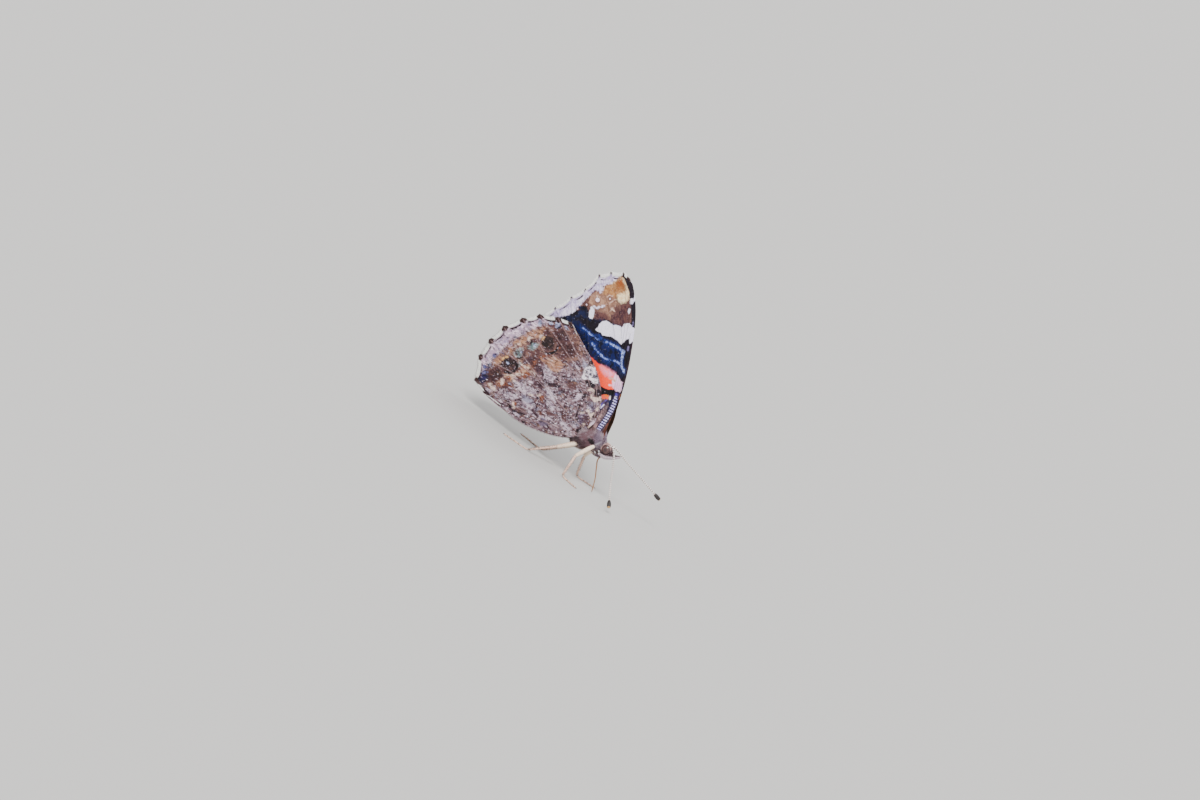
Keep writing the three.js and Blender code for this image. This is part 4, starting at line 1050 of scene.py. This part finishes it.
def addInnerEdge(plan, grid, name, side, chance):
    # short hairs along the hindwing's inner edge
    rear = grid["place"][int(plan["rows"] * fringe["edgeFrom"]):, -1]
    steps = distanceAlong(rear)
    way = np.gradient(rear, axis=0)
    way = np.c_[-way[:, 1], way[:, 0]] / np.linalg.norm(way, axis=1)[:, None]
    count = int(steps[-1] / fringe["edgePitch"])
    at = chance.random(count) * steps[-1]
    root, leaning = sampleAt(rear, steps, at), sampleAt(way, steps, at)
    outwards = chance.uniform(-0.04, 0.04, count)
    start = standWing(plan, side, root - leaning * 0.05, outwards, 1 + 0 * at)
    ways = standWing(plan, side, root + leaning, outwards, 1 + 0 * at) - start
    ways = ways + chance.normal(0, fringe["edgeScatter"], (count, 3))
    tone = np.tile(tint(*fringe["edge"]), (count, 1))
    patches = np.stack([at / steps[-1] * 0.9, 0.4 + chance.random(count) * 0.3], 1)
    long = fringe["edgeLength"] * chance.uniform(*fringe["edgeLengths"], count)
    wide = np.full(count, fringe["edgeWidth"])
    tone = roughTone(tone, chance, *fringe["edgeShades"])
    addTufts(f"edge_{name}", "hindwing", fringeFinish, start, ways, long, wide, tone, patches, fringe["curl"])


# The body is one skin from face to tail, a loft of rings along the animal
body = {
    # forward, height, half width, half height, just inside the solids by the depth of the coat
    "rings": [
        (4.3, -1.66, 0.05, 0.05), (4.22, -1.66, 0.34, 0.36), (4.0, -1.66, 0.62, 0.68),
        (3.6, -1.66, 0.86, 0.92), (3.0, -1.65, 0.98, 1.02), (2.4, -1.62, 0.97, 1.0),
        (1.95, -1.5, 0.92, 0.95), (1.7, -1.36, 0.98, 1.04), (1.5, -1.28, 1.1, 1.2),
        (1.2, -1.3, 1.38, 1.52), (0.8, -1.37, 1.66, 1.83), (0.3, -1.46, 1.91, 2.1),
        (-0.3, -1.58, 2.1, 2.31), (-0.9, -1.69, 2.21, 2.43), (-1.5, -1.8, 2.24, 2.47),
        (-2.2, -1.93, 2.19, 2.42), (-2.9, -2.06, 2.04, 2.25), (-3.5, -2.17, 1.82, 2.01),
        (-4.0, -2.27, 1.53, 1.69), (-4.4, -2.34, 1.32, 1.42), (-4.8, -2.4, 1.3, 1.34),
        (-5.4, -2.49, 1.38, 1.4), (-6.5, -2.7, 1.55, 1.55), (-8.2, -3.02, 1.72, 1.72),
        (-10.2, -3.4, 1.68, 1.68), (-12.2, -3.8, 1.42, 1.42), (-14.0, -4.14, 1.05, 1.05),
        (-15.4, -4.41, 0.72, 0.72), (-16.2, -4.56, 0.45, 0.45), (-16.4, -4.6, 0.05, 0.05),
    ],
    "steps": 190, "around": 64, "segments": (-4.6, 1.55), "segmentDepth": 0.05,
}


def bodyAt(share, turn):
    # share runs from face to tail, turn from the back round the left side
    rings = np.array(body["rings"])
    travel = np.r_[0, np.cumsum(np.hypot(np.diff(rings[:, 0]), np.diff(rings[:, 3]) * 0.6))]
    at = np.clip(share, 0, 1) * travel[-1]
    x, z, wide, high = (smoothInterp(at, travel, rings[:, k]) for k in range(4))
    first, pitch = body["segments"]
    behind = np.clip((first - x) / pitch, 0, 7.4)
    swell = body["segmentDepth"] * np.abs(np.sin(pi * behind)) ** 0.6 * (x < first)
    grow = 1 + (swell - body["segmentDepth"] * 0.5 * (x < first)) / np.maximum(high, 0.3)
    return np.stack([x, np.sin(turn) * wide * grow, z + np.cos(turn) * high * grow], -1)


def smoothInterp(at, knots, values):
    # monotone cubic through the knots
    slopes = np.diff(values) / np.diff(knots)
    tangents = np.r_[slopes[0], (slopes[:-1] + slopes[1:]) / 2 * (slopes[:-1] * slopes[1:] > 0), slopes[-1]]
    k = np.clip(np.searchsorted(knots, at, side="right") - 1, 0, len(slopes) - 1)
    width = knots[k + 1] - knots[k]
    t = (at - knots[k]) / width
    return (values[k] * (1 + 2 * t) * (1 - t) ** 2 + tangents[k] * width * t * (1 - t) ** 2
            + values[k + 1] * t * t * (3 - 2 * t) - tangents[k + 1] * width * t * t * (1 - t))


def bodyFrame(share, turn):
    # a place on the skin, its outward way and its way back along the body
    step = 1e-3
    here = bodyAt(share, turn)
    backward = bodyAt(share + step, turn) - bodyAt(share - step, turn)
    around = bodyAt(share, turn + step) - bodyAt(share, turn - step)
    outward = np.cross(around, backward)
    for way in (outward, backward):
        way /= np.maximum(np.linalg.norm(way, axis=-1, keepdims=True), 1e-9)
    return here, outward, backward


def drawSkinFinish():
    finish = Finish("bodySkin", Roughness=0.7)
    place = finish.objectPlace()
    tone = finish.noise(place, 2.2, 3.0, 0.6)
    finish.give("Base Color", finish.blend((84, 64, 72), (132, 106, 112), finish.ramp(tone, 0.35, 0.65)))
    finish.bump(finish.noise(place, 14.0, 2.0), 0.04 * mm, 0.6)
    return finish


def addBody():
    shares, turns = np.linspace(0, 1, body["steps"]), roundTurn(body["around"])
    points = bodyAt(*np.meshgrid(shares, turns, indexing="ij")).reshape(-1, 3)
    faces = tubeFaces(body["steps"], body["around"])
    makePiece("body_skin", points, faces, [drawSkinFinish()], ["thorax", "abdomen", "head"])


bodyCoat = {
    # forward from, to, tufts, length, width, lift from the skin
    "face": (4.3, 3.0, 5200, 0.26, 0.04, 0.7),
    "crown": (3.1, 1.5, 6400, 0.42, 0.045, 0.55),
    "thorax": (1.6, -4.5, 27000, 0.72, 0.05, 0.4),
    "ruff": (1.35, -3.9, 7000, 1.15, 0.05, 0.5),
    "abdomen": (-4.3, -16.3, 20000, 0.42, 0.06, 0.2),
    "lengths": (0.6, 1.25), "widths": (0.7, 1.3), "shades": (0.72, 1.25), "scatter": 0.13, "swirl": 1.1,
    "ruffTurn": (0.05, 1.25), "eyeClear": 1.04, "eyeShort": 1.35,
    "tones": {
        "brown": (172, 138, 146), "dark": (98, 72, 80), "pale": (216, 198, 204), "lilac": (176, 160, 178),
        # the first tone on the next line, near black, is a painted shadow for the chest's sides
        "pocket": (24, 16, 20), "stripe": (226, 216, 226), "under": (196, 170, 162), "back": (132, 108, 98),
        "face": (148, 116, 116), "ring": (244, 208, 200),
        "abdomenBack": (84, 66, 60), "abdomenSide": (164, 138, 140), "abdomenUnder": (224, 204, 192),
    },
    # marks on the chest's sides, the first a near-black painted shadow: (forward, height) ends and half width
    "pocket": ((-0.25, -1.8), (0.2, -1.9), 0.42), "stripe": ((0.85, -1.95), (1.45, -1.0), 0.14),
    "hingePatch": ((-3.0, -2.0), (-2.1, -0.9), 0.3),
}


def layTones(tones, base, *layers):
    # every layer is a tone and how much of it each tuft gets
    tone = tones[base]
    for name, share in layers:
        tone = lerp(tone, tones[name], np.clip(share, 0, 1)[:, None])
    return tone


def chestTones(tones, here, turn):
    # brown and purplish grey fur, with painted shade beneath, and the marks of its sides, one of them a
    # painted shadow
    x, z = here[:, 0], here[:, 2]
    broad, fine = clumps(here, 0.9, 5), clumps(here, 0.3, 6)
    plane = here[:, [0, 2]] + (fine[:, None] - 0.5) * 0.35
    marks = []
    # the first of these marks, near black, is a painted shadow
    for name, look in (("pocket", "pocket"), ("stripe", "stripe"), ("hingePatch", "pale")):
        a, b, wide = bodyCoat[name]
        near = 1 - smoothstep(edgeDistance(plane, a, b), wide * 0.7, wide * 1.4)
        marks.append((look, near * (np.abs(here[:, 1]) > 0.7) * 0.92))
    return layTones(
        tones, "brown",
        ("dark", smoothstep(broad, 0.5, 0.8)),
        ("back", smoothstep(np.cos(turn), 0.3, 0.9)),
        ("lilac", smoothstep(x + z * 0.5, -1.0, 0.2) * 0.85),
        # painted shade: the dark tone again towards the bottom of the body
        ("dark", smoothstep(-z, 2.9, 3.8) * 0.8),
        ("under", smoothstep(-np.cos(turn), 0.86, 0.98) * 0.7),
        ("pale", smoothstep(fine, 0.56, 0.74) * 0.7),
        *marks)


def headTones(tones, here, turn):
    fine = clumps(here, 0.22, 8)
    rear = smoothstep(-(here[:, 0] - eye["place"][0]) + here[:, 2] - eye["place"][2], -0.3, 0.5)
    return layTones(
        tones, "face",
        ("lilac", smoothstep(-here[:, 0], -2.6, -1.9) * 0.8),
        ("dark", smoothstep(fine, 0.5, 0.75) * 0.7),
        ("pale", smoothstep(fine, 0.45, 0.25) * 0.7),
        ("ring", (1 - smoothstep(eyeGap(here), 1.12, 1.3)) * rear * 0.9))


def tailTones(tones, here, turn):
    tone = layTones(
        tones, "abdomenSide",
        ("abdomenBack", smoothstep(np.cos(turn), -0.1, 0.6)),
        ("abdomenUnder", smoothstep(-np.cos(turn), 0.2, 0.9)))
    seam = np.abs(np.sin(pi * (body["segments"][0] - here[:, 0]) / body["segments"][1]))
    return tone * (0.65 + 0.5 * seam[:, None] ** 0.5) * (0.8 + 0.4 * clumps(here, 0.4, 9)[:, None])


def addCoat():
    chance = np.random.default_rng(11)
    tones = {name: np.array(tint(*value)) for name, value in bodyCoat["tones"].items()}
    colouring = {"face": headTones, "crown": headTones, "thorax": chestTones, "ruff": chestTones,
                 "abdomen": tailTones}
    ladder = np.linspace(0, 1, 4000)
    reach = bodyAt(ladder, ladder * 0)[:, 0]
    girth = np.abs(bodyAt(ladder, ladder * 0 + pi / 2)[:, 1])
    for part, colour in colouring.items():
        front, rear, count, length, width, lift = bodyCoat[part]
        weight = girth * ((reach <= front) & (reach >= rear))
        share = np.interp(chance.random(count), np.cumsum(weight) / weight.sum(), ladder)
        turn = chance.random(count) * 2 * pi
        if part == "ruff":
            side = np.where(chance.random(count) < 0.5, -1, 1)
            turn = side * chance.uniform(*bodyCoat["ruffTurn"], count)
        here, outward, backward = bodyFrame(share, turn)
        swirl = clumps(here, bodyCoat["swirl"], 12)[:, None] - 0.5
        ways = backward * (1 - lift) + outward * lift + chance.normal(0, bodyCoat["scatter"], (count, 3))
        ways = ways + (0, 0, 0.5) * swirl
        long = length * chance.uniform(*bodyCoat["lengths"], count)
        if part == "thorax":
            # longer and hanging at the rear, short in front where the legs begin
            low = np.clip(-np.cos(turn), 0, 1)
            long *= lerp(0.62, 1.15, smoothstep(-here[:, 0], -0.6, 2.4))
            ways[:, 2] -= 0.3 * low * smoothstep(-here[:, 0], 0, 3)
        elif part == "ruff":
            ways = np.stack([-0.4 + 0 * turn, 0.3 * np.sign(turn), 0.9 + 0 * turn], 1)
            ways += chance.normal(0, 0.14, (count, 3)) + outward * 0.2
        elif part == "face":
            ways = outward * 0.9 + np.array((0.45, 0, -0.1)) + chance.normal(0, 0.14, (count, 3))
        elif part == "abdomen":
            long *= 1 - 0.4 * smoothstep(-here[:, 0], 12, 16)
        # the coat keeps clear of the eyes
        gap, beside = eyeGap(here), np.abs(here[:, 1])
        keep = ~((gap < bodyCoat["eyeClear"]) & (beside > 0.4))
        long = np.where((gap < bodyCoat["eyeShort"]) & (beside > 0.3), long * 0.5, long)
        tone = roughTone(colour(tones, here, turn), chance, *bodyCoat["shades"])
        wide = width * chance.uniform(*bodyCoat["widths"], count)
        patches = np.stack([share * 0.95, turn / (2 * pi) % 1 * 0.95], 1)
        kept = (values[keep] for values in (here, ways, long, wide, tone, patches))
        addTufts(f"coat_{part}", "fur", furFinish, *kept)


eye = {
    "place": (3.15, 1.1, -1.6), "size": (0.95, 0.68, 1.05), "rows": 40, "around": 64,
    "brown": (88, 64, 64), "dark": (50, 36, 38), "warm": (108, 80, 78), "pale": (196, 166, 160),
}


def eyeGap(here):
    # from the side, 0 at the eye's middle and 1 at its rim
    out = (here - eye["place"]) / eye["size"]
    return np.hypot(out[:, 0], out[:, 2])


def drawEyeFinish():
    finish = Finish("eyeFacets", Roughness=0.22, Coat_Weight=0.35, Coat_Roughness=0.15)
    place = finish.objectPlace()
    facets = finish.cells(place, 13.0)
    cloud = finish.noise(place, 2.4, 3.0, 0.6) - 0.5
    rings = finish.field("ring") + cloud * 0.3
    colour = finish.blend(eye["brown"], eye["warm"], finish.ramp(rings, 0.36, 0.56))
    colour = finish.blend(colour, eye["brown"], finish.ramp(rings, 0.58, 0.78))
    colour = finish.blend(colour, eye["dark"], finish.ramp(rings, 0.5, 0.1) * 0.6)
    colour = finish.blend(colour, eye["dark"], finish.ramp(rings, 0.95, 1.35) * 0.5)
    rim = finish.ramp(finish.field("rim") + cloud * 0.2, 0.8, 0.95)
    colour = finish.blend(colour, eye["pale"], rim * 0.7)
    colour = finish.blend(colour, (24, 14, 14), finish.ramp(facets, 0.5, 0.8) * 0.3)
    finish.give("Base Color", colour)
    finish.bump(1.0 - facets, 0.02 * mm, 0.5)
    return finish


def addEye(side, finish):
    down, spin = np.meshgrid(np.linspace(0, pi, eye["rows"]), roundTurn(eye["around"]), indexing="ij")
    local = np.stack([np.sin(down) * np.cos(spin), np.cos(down), np.sin(down) * np.sin(spin)], -1)
    local = local.reshape(-1, 3)
    points = np.array(eye["place"]) + local * eye["size"]
    # the dark spot that looks at whoever looks at the eye is drawn a little below its middle
    ring = np.linalg.norm(local - np.array((-0.04, 0.99, -0.12)), axis=1)
    rim = np.hypot(local[:, 0], local[:, 2]) * smoothstep(local[:, 2] + local[:, 0] * 0.3, 0.2, 0.7)
    faces = gridFaces(eye["rows"], eye["around"], closed=True, flip=side > 0)
    points[:, 1] *= side
    name = f"eye_{sideName(side)}"
    makePiece(f"{name}_ball", points, faces, [finish], [name], {"ring": ring, "rim": rim})


# Tubes along smooth paths
def smoothPath(path, count):
    # centripetal curve through the points, evenly spaced
    path = np.asarray(path, float)
    path = np.vstack([2 * path[0] - path[1], path, 2 * path[-1] - path[-2]])
    knots = distanceAlong(path, 0.5)
    curve = []
    for k in range(1, len(path) - 2):
        p0, p1, p2, p3 = path[k - 1:k + 3]
        t0, t1, t2, t3 = knots[k - 1:k + 3]
        t = np.linspace(t1, t2, 40, endpoint=k == len(path) - 3)[:, None]
        spans = ((p0, p1, t0, t1), (p1, p2, t1, t2), (p2, p3, t2, t3))
        a1, a2, a3 = (lerp(a, b, (t - start) / (end - start)) for a, b, start, end in spans)
        b1, b2 = lerp(a1, a2, (t - t0) / (t2 - t0)), lerp(a2, a3, (t - t1) / (t3 - t1))
        curve.append(lerp(b1, b2, (t - t1) / (t2 - t1)))
    curve = np.vstack(curve)
    steps = distanceAlong(curve)
    at = np.linspace(0, steps[-1], count)
    return sampleAt(curve, steps, at), at


def roundedOff(left, over, least=0.1):
    return np.sqrt(np.clip(left / over, least, 1))


def tubeFrame(path):
    along = np.gradient(path, axis=0)
    along /= np.linalg.norm(along, axis=1, keepdims=True)
    across = np.cross(along, (0, 0, 1))
    across /= np.maximum(np.linalg.norm(across, axis=1, keepdims=True), 1e-6)
    return along, across, np.cross(across, along)


def tubeMesh(path, radius, sides=16, flat=1.0):
    _, across, up = tubeFrame(path)
    turn = roundTurn(sides)
    radius = np.asarray(radius)[:, None, None]
    points = path[:, None] + radius * (
        across[:, None] * np.cos(turn)[None, :, None] + up[:, None] * np.sin(turn)[None, :, None] * flat)
    return points.reshape(-1, 3), tubeFaces(len(path), sides), np.tile(turn, len(path))


def spotsOnTube(path, radius, chance, count, depth, gather=1):
    # random spots just below a tube's surface, with their ways forward and outward
    forward, across, up = tubeFrame(path)
    rows = np.arange(len(path))
    spot = chance.random(count) ** gather * rows[-1]
    turn = chance.random(count) * 2 * pi
    outward = sampleAt(across, rows, spot) * np.cos(turn)[:, None]
    outward += sampleAt(up, rows, spot) * np.sin(turn)[:, None]
    here = sampleAt(path, rows, spot) + outward * np.interp(spot, rows, radius)[:, None] * depth
    return spot, turn, here, sampleAt(forward, rows, spot), outward


# Feelers
antenna = {
    "left": [
        (2.9, 0.5, -1.2), (3.7, 0.9, -0.65), (4.6, 1.4, -0.8), (7.5, 3.2, -1.9), (11.4, 5.9, -3.2),
        (16, 8.8, -4.8),
    ],
    "right": [
        (2.9, -0.5, -1.2), (3.7, -0.9, -0.5), (5, -1.8, -1.2), (7.2, -4, -3.75), (9, -6, -6.1),
        (12, -9, -9.6),
    ],
    "radius": 0.17, "club": 2.1, "clubRadius": 0.44, "joint": 0.46, "rib": 0.16, "steps": 420, "sides": 14,
    "knob": (52, 44, 42), "dark": (100, 80, 78), "white": (255, 246, 240), "tip": (214, 176, 128),
}


def drawAntennaFinish():
    finish = Finish("antennaScales", Roughness=0.5)
    grain = finish.noise(finish.objectPlace(), 9.0, 2.0, 0.6)
    shaft = finish.ramp(finish.field("band"), 0.05, 0.3)
    colour = finish.blend(antenna["knob"], antenna["dark"], shaft)
    band = finish.ramp(finish.field("band") + (grain - 0.5) * 0.4, 0.5, 0.66)
    colour = finish.blend(colour, antenna["white"], band)
    colour = finish.blend(colour, antenna["tip"], finish.ramp(finish.field("tip"), 0.86, 0.95))
    finish.give("Base Color", colour)
    finish.bump(grain, 0.03 * mm, 0.6)
    return finish


def addAntenna(side, finish):
    name, sides = sideName(side), antenna["sides"]
    path, at = smoothPath(antenna[name], antenna["steps"])
    out = np.clip((at - (at[-1] - antenna["club"])) / antenna["club"], 0, 1)
    knob = np.sqrt(np.clip(1 - ((out - 0.58) / 0.46) ** 2, 0, 1))
    ribs = 0.98 + 0.02 * np.cos(at * 2 * pi / antenna["rib"])
    club = lerp(antenna["radius"], antenna["clubRadius"], knob ** 1.2) * (out > 0) * ribs
    club *= roundedOff(1 - out, 0.08, 0.0)
    # each joint swells a little towards its far end
    joint = (at / antenna["joint"]) % 1
    foot = 1 + 0.5 * np.exp(-((at - 0.8) / 0.5) ** 2)
    shaft = antenna["radius"] * (0.94 + 0.12 * np.sin(pi * joint) ** 2) * foot
    radius = np.where(out > 0, np.maximum(club, shaft * (out < 0.3)), shaft)
    radius = np.maximum(radius, 0.02)
    points, faces, turn = tubeMesh(path, radius, sides)
    pale = np.where(joint < 0.6, 1, 0.3) * (1 - smoothstep(out, 0, 0.3))
    band = np.repeat(pale, sides) * (0.7 + 0.4 * np.clip(-np.sin(turn) + 0.3, 0, 1))
    fields = {"band": band, "tip": np.repeat(out, sides)}
    stands = [f"antenna_{name}", f"antenna_club_{name}"]
    makePiece(f"antenna_{name}_ringed", points, faces, [finish], stands, fields)


palp = {
    "path": [(2.25, 1.0, -3.1), (3.7, 0.98, -2.95), (5.0, 0.8, -2.2), (5.9, 0.68, -1.52)],
    "radius": ((0, 0.3), (0.3, 0.42), (0.62, 0.34), (1, 0.13)), "tufts": 5200, "length": 0.36, "width": 0.045,
    "dark": (66, 46, 52), "white": (255, 240, 246), "rust": (214, 172, 178),
}


def addPalp(side):
    chance = np.random.default_rng(31 if side > 0 else 32)
    path, at = smoothPath(mirrorPath(palp["path"], side), 60)
    share = at / at[-1]
    radius = np.interp(share, *zip(*palp["radius"])) * roundedOff(1 - share, 0.04)
    points, faces, turn = tubeMesh(path, radius, 20)
    name = f"palp_{sideName(side)}"
    dark, white, rust = (np.array(tint(*palp[key])) for key in ("dark", "white", "rust"))
    core = np.where(np.sin(turn)[:, None] > 0.5, dark, white)
    fields = {"tone": core, "tipward": np.full(len(points), 0.7)}
    makePiece(f"{name}_core", points, faces, [furFinish], [name], fields)
    count = palp["tufts"]
    spot, turn, here, forward, outward = spotsOnTube(path, radius, chance, count, 0.9, 0.85)
    share = spot / (len(path) - 1)
    high, tip = np.sin(turn), smoothstep(share, 0.55, 1)
    ways = forward * 0.85 + outward * (0.25 + 0.25 * np.clip(high, 0, 1))[:, None]
    ways += chance.normal(0, 0.1, (count, 3))
    tone = lerp(dark, white, smoothstep(-high + chance.normal(0, 0.1, count), -0.65, -0.4)[:, None])
    tone = lerp(tone, rust, (chance.random((count, 1)) < 0.14) * 0.6)
    long = palp["length"] * chance.uniform(0.7, 1.3, count) * lerp(1 + 0.5 * np.clip(high, 0, 1), 0.75, tip)
    patches = np.stack([share * 0.95, turn / (2 * pi) * 0.95], 1)
    wide = np.full(count, palp["width"])
    tone = roughTone(tone, chance, 0.85, 1.12)
    addTufts(f"coat_{name}", "fur", furFinish, here, ways, long, wide, tone, patches, curl=0.05)


tongue = {
    "path": [
        (3.4, 0, -2.5), (2.9, 0, -3.3), (2.65, 0, -4.4), (3.3, 0, -5.8), (4.4, 0, -7.8), (5.4, 0, -10.4),
    ],
    "radius": (0.17, 0.11), "ring": 0.14, "sides": 14, "pale": (178, 132, 84), "dark": (104, 68, 40),
}


def drawTongueFinish():
    finish = Finish("tongueRings", Roughness=0.4)
    ring = finish.field("ringed")
    tone = finish.ramp(ring + (finish.noise(finish.objectPlace(), 6.0) - 0.5) * 0.6, 0.3, 0.8)
    finish.give("Base Color", finish.blend(tongue["pale"], tongue["dark"], tone))
    finish.bump(ring, 0.03 * mm, 0.5)
    return finish


def addTongue():
    path, at = smoothPath(tongue["path"], 260)
    share = at / at[-1]
    rings = 0.5 + 0.5 * np.cos(at * 2 * pi / tongue["ring"])
    radius = lerp(*tongue["radius"], share) * (1 + 0.03 * rings) * roundedOff(1 - share, 0.01)
    points, faces, _ = tubeMesh(path, radius, tongue["sides"], flat=0.85)
    fields = {"ringed": np.repeat(rings, tongue["sides"])}
    makePiece("proboscis_tube", points, faces, [drawTongueFinish()], ["proboscis"], fields)


# Legs
legs = {
    "midleg": {
        "hip": (0.75, 1.5, -2.4), "knee": (-0.8, 3.5, -5.95), "ankle": (-0.3, 5.5, -10.25), "topShade": 0.1,
        "foot": [(-0.3, 5.5, -10.25), (0.3, 5.85, -10.48), (2.0, 6.7, -10.53), (3.75, 7.53, -10.54)],
    },
    "hindleg": {
        "hip": (-2.2, 1.1, -3.8), "knee": (-5.0, 3.8, -6.7), "ankle": (-8.9, 5.3, -10.25), "topShade": 0.35,
        "foot": [(-8.9, 5.3, -10.25), (-9.5, 5.5, -10.48), (-12, 6.1, -10.53), (-14.6, 6.72, -10.54)],
    },
    "femur": (0.4, 0.46, 0.32), "tibia": (0.26, 0.25, 0.2), "tarsus": (0.17, 0.16, 0.13), "sides": 18,
    # count, length, width, and how far they stand out
    "hair": (420, 0.26, 0.035, 0.35), "spines": (46, 0.42, 0.05, 0.6), "footHair": (150, 0.2, 0.035, 0.45),
    "joints": (0, 0.4, 0.6, 0.75, 0.87, 1.0), "footSides": 16, "claw": (0.055, 0.012),
    "cream": (250, 232, 214), "pink": (236, 206, 190), "brown": (176, 138, 122), "dark": (92, 64, 56),
}
# the ground, seen from the forewing hinge
groundAt = -hingeHeight


def drawLegFinish(name, pale, dark, darkness):
    finish = Finish(name, Roughness=0.55)
    place = finish.objectPlace()
    grain = finish.noise(place, 7.0, 3.0, 0.65)
    scales = finish.cells(place, 9.0)
    shade = grain + finish.field("shade") * 0.6
    colour = finish.blend(pale, dark, finish.ramp(shade, 0.62, 0.95 - darkness))
    colour = finish.blend(colour, (250, 236, 220), finish.ramp(scales, 0.55, 0.2) * 0.3)
    finish.give("Base Color", colour)
    finish.bump(scales + grain, 0.03 * mm, 0.6)
    return finish


legFinish = drawLegFinish("legScales", legs["cream"], legs["brown"], 0.0)
footFinish = drawLegFinish("footScales", legs["pink"], legs["dark"], 0.15)


def addSpines(name, path, radius, chance, look, tone):
    count, length, width, splay = look
    spot, turn, here, forward, outward = spotsOnTube(path, radius, chance, count, 0.85)
    ways = forward * (1 - splay) + outward * splay + chance.normal(0, 0.08, (count, 3))
    tones = np.tile(tint(*tone), (count, 1)) * (0.7 + 0.5 * chance.random((count, 1)))
    tones = np.clip(tones, 0, 1)
    long = length * (0.6 + 0.8 * chance.random(count))
    # none of them reaches under the ground
    keep = here[:, 2] + np.minimum(ways[:, 2], 0) * long > groundAt + 0.02
    patches = np.stack([spot / len(path) * 0.95, turn / (2 * pi) * 0.95], 1)
    kept = (values[keep] for values in (here, ways, long, np.full(count, width), tones, patches))
    addTufts(name, "leg", furFinish, *kept, curl=0.0)


def addLeg(kind, side):
    chance = np.random.default_rng(51 + len(kind) * 2 + (side > 0))
    leg, sides = legs[kind], legs["sides"]
    name = f"{kind}_{sideName(side)}"
    hip, knee, ankle = (mirrorPath(leg[joint], side) for joint in ("hip", "knee", "ankle"))
    parts = (("femur", hip, knee, legFinish, "cream"), ("tibia", knee, ankle, footFinish, "pink"))
    for part, a, b, finish, tone in parts:
        path, at = smoothPath([a, lerp(a, b, 0.5) + (0, 0, 0.05), b], 60)
        share = at / at[-1]
        radius = np.interp(share, (0, 0.45, 1), legs[part])
        radius *= 1 + 0.12 * np.exp(-((1 - share) / 0.04) ** 2)
        radius *= roundedOff(1 - share, 0.02, 0.15) * roundedOff(share, 0.02, 0.15)
        points, faces, turn = tubeMesh(path, radius, sides)
        shade = np.repeat(share * 0.25, sides) + np.clip(np.sin(turn), 0, 1) * leg["topShade"]
        makePiece(f"{name}_{part}_limb", points, faces, [finish], [f"{name}_{part}"], {"shade": shade})
        addSpines(f"hair_{name}_{part}", path, radius, chance, legs["hair"], legs[tone])
        if part == "tibia":
            addSpines(f"spines_{name}", path, radius, chance, legs["spines"], legs["dark"])
    addFoot(name, mirrorPath(leg["foot"], side), chance)


def addFoot(name, path, chance):
    path, at = smoothPath(path, 140)
    share = at / at[-1]
    # five joints, the first as long as the next two
    ends = np.array(legs["joints"])
    joint = np.clip(np.searchsorted(ends, share, side="right") - 1, 0, 4)
    inside = (share - ends[joint]) / np.diff(ends)[joint]
    radius = np.interp(share, (0, 0.5, 1), legs["tarsus"]) * (0.86 + 0.2 * np.clip(inside, 0, 1) ** 1.5)
    points, faces, _ = tubeMesh(path, radius, legs["footSides"])
    shade = np.repeat(0.15 + 0.5 * np.exp(-((inside) / 0.16) ** 2), legs["footSides"])
    stands = [f"{name}_tarsus"]
    makePiece(f"{name}_tarsus_limb", points, faces, [footFinish], stands, {"shade": shade})
    addSpines(f"spines_foot_{name}", path, radius, chance, legs["footHair"], legs["dark"])
    # two claws
    forward = path[-1] - path[-8]
    forward /= np.linalg.norm(forward)
    sideways = np.cross(forward, (0, 0, 1))
    for k, spread in enumerate((-1, 1)):
        claw = [
            path[-3] + sideways * spread * 0.06,
            path[-1] + forward * 0.16 + sideways * spread * 0.16 + (0, 0, 0.03),
            path[-1] + forward * 0.33 + sideways * spread * 0.17 - (0, 0, 0.1),
        ]
        curve, at = smoothPath(claw, 16)
        points, faces, _ = tubeMesh(curve, np.linspace(*legs["claw"], len(at)), 8)
        makePiece(f"claw_{name}_{k + 1}", points, faces, [clawFinish])


clawFinish = Finish("claw", Roughness=0.3)
clawGrain = clawFinish.noise(clawFinish.objectPlace(), 8.0)
clawFinish.give("Base Color", clawFinish.blend((40, 26, 22), (96, 62, 44), clawGrain))

foreleg = {
    "path": [(0.75, 1.0, -3.0), (1.5, 1.7, -3.65), (2.85, 1.95, -3.5)], "radius": (0.2, 0.12), "sides": 14,
    "coat": (1200, 0.3, 0.045, 0.4), "tone": (128, 108, 116),
}


def addForeleg(side):
    chance = np.random.default_rng(71 if side > 0 else 72)
    path, at = smoothPath(mirrorPath(foreleg["path"], side), 60)
    share = at / at[-1]
    radius = lerp(*foreleg["radius"], share) * roundedOff(1 - share, 0.03)
    points, faces, _ = tubeMesh(path, radius, foreleg["sides"])
    name = f"foreleg_{sideName(side)}"
    fields = {"shade": np.repeat(share * 0.3, foreleg["sides"])}
    makePiece(f"{name}_limb", points, faces, [legFinish], [name], fields)
    addSpines(f"coat_{name}", path, radius, chance, foreleg["coat"], foreleg["tone"])


addBody()
addCoat()
print("body and coat made")
eyeFinish, antennaFinish = drawEyeFinish(), drawAntennaFinish()
for side in (1, -1):
    for kind in wingPlan:
        addFringe(kind, side)
    addEye(side, eyeFinish)
    addAntenna(side, antennaFinish)
    addPalp(side)
    addForeleg(side)
    for kind in ("midleg", "hindleg"):
        addLeg(kind, side)
addTongue()
print("head, feelers and legs made")

bpy.context.view_layer.update()
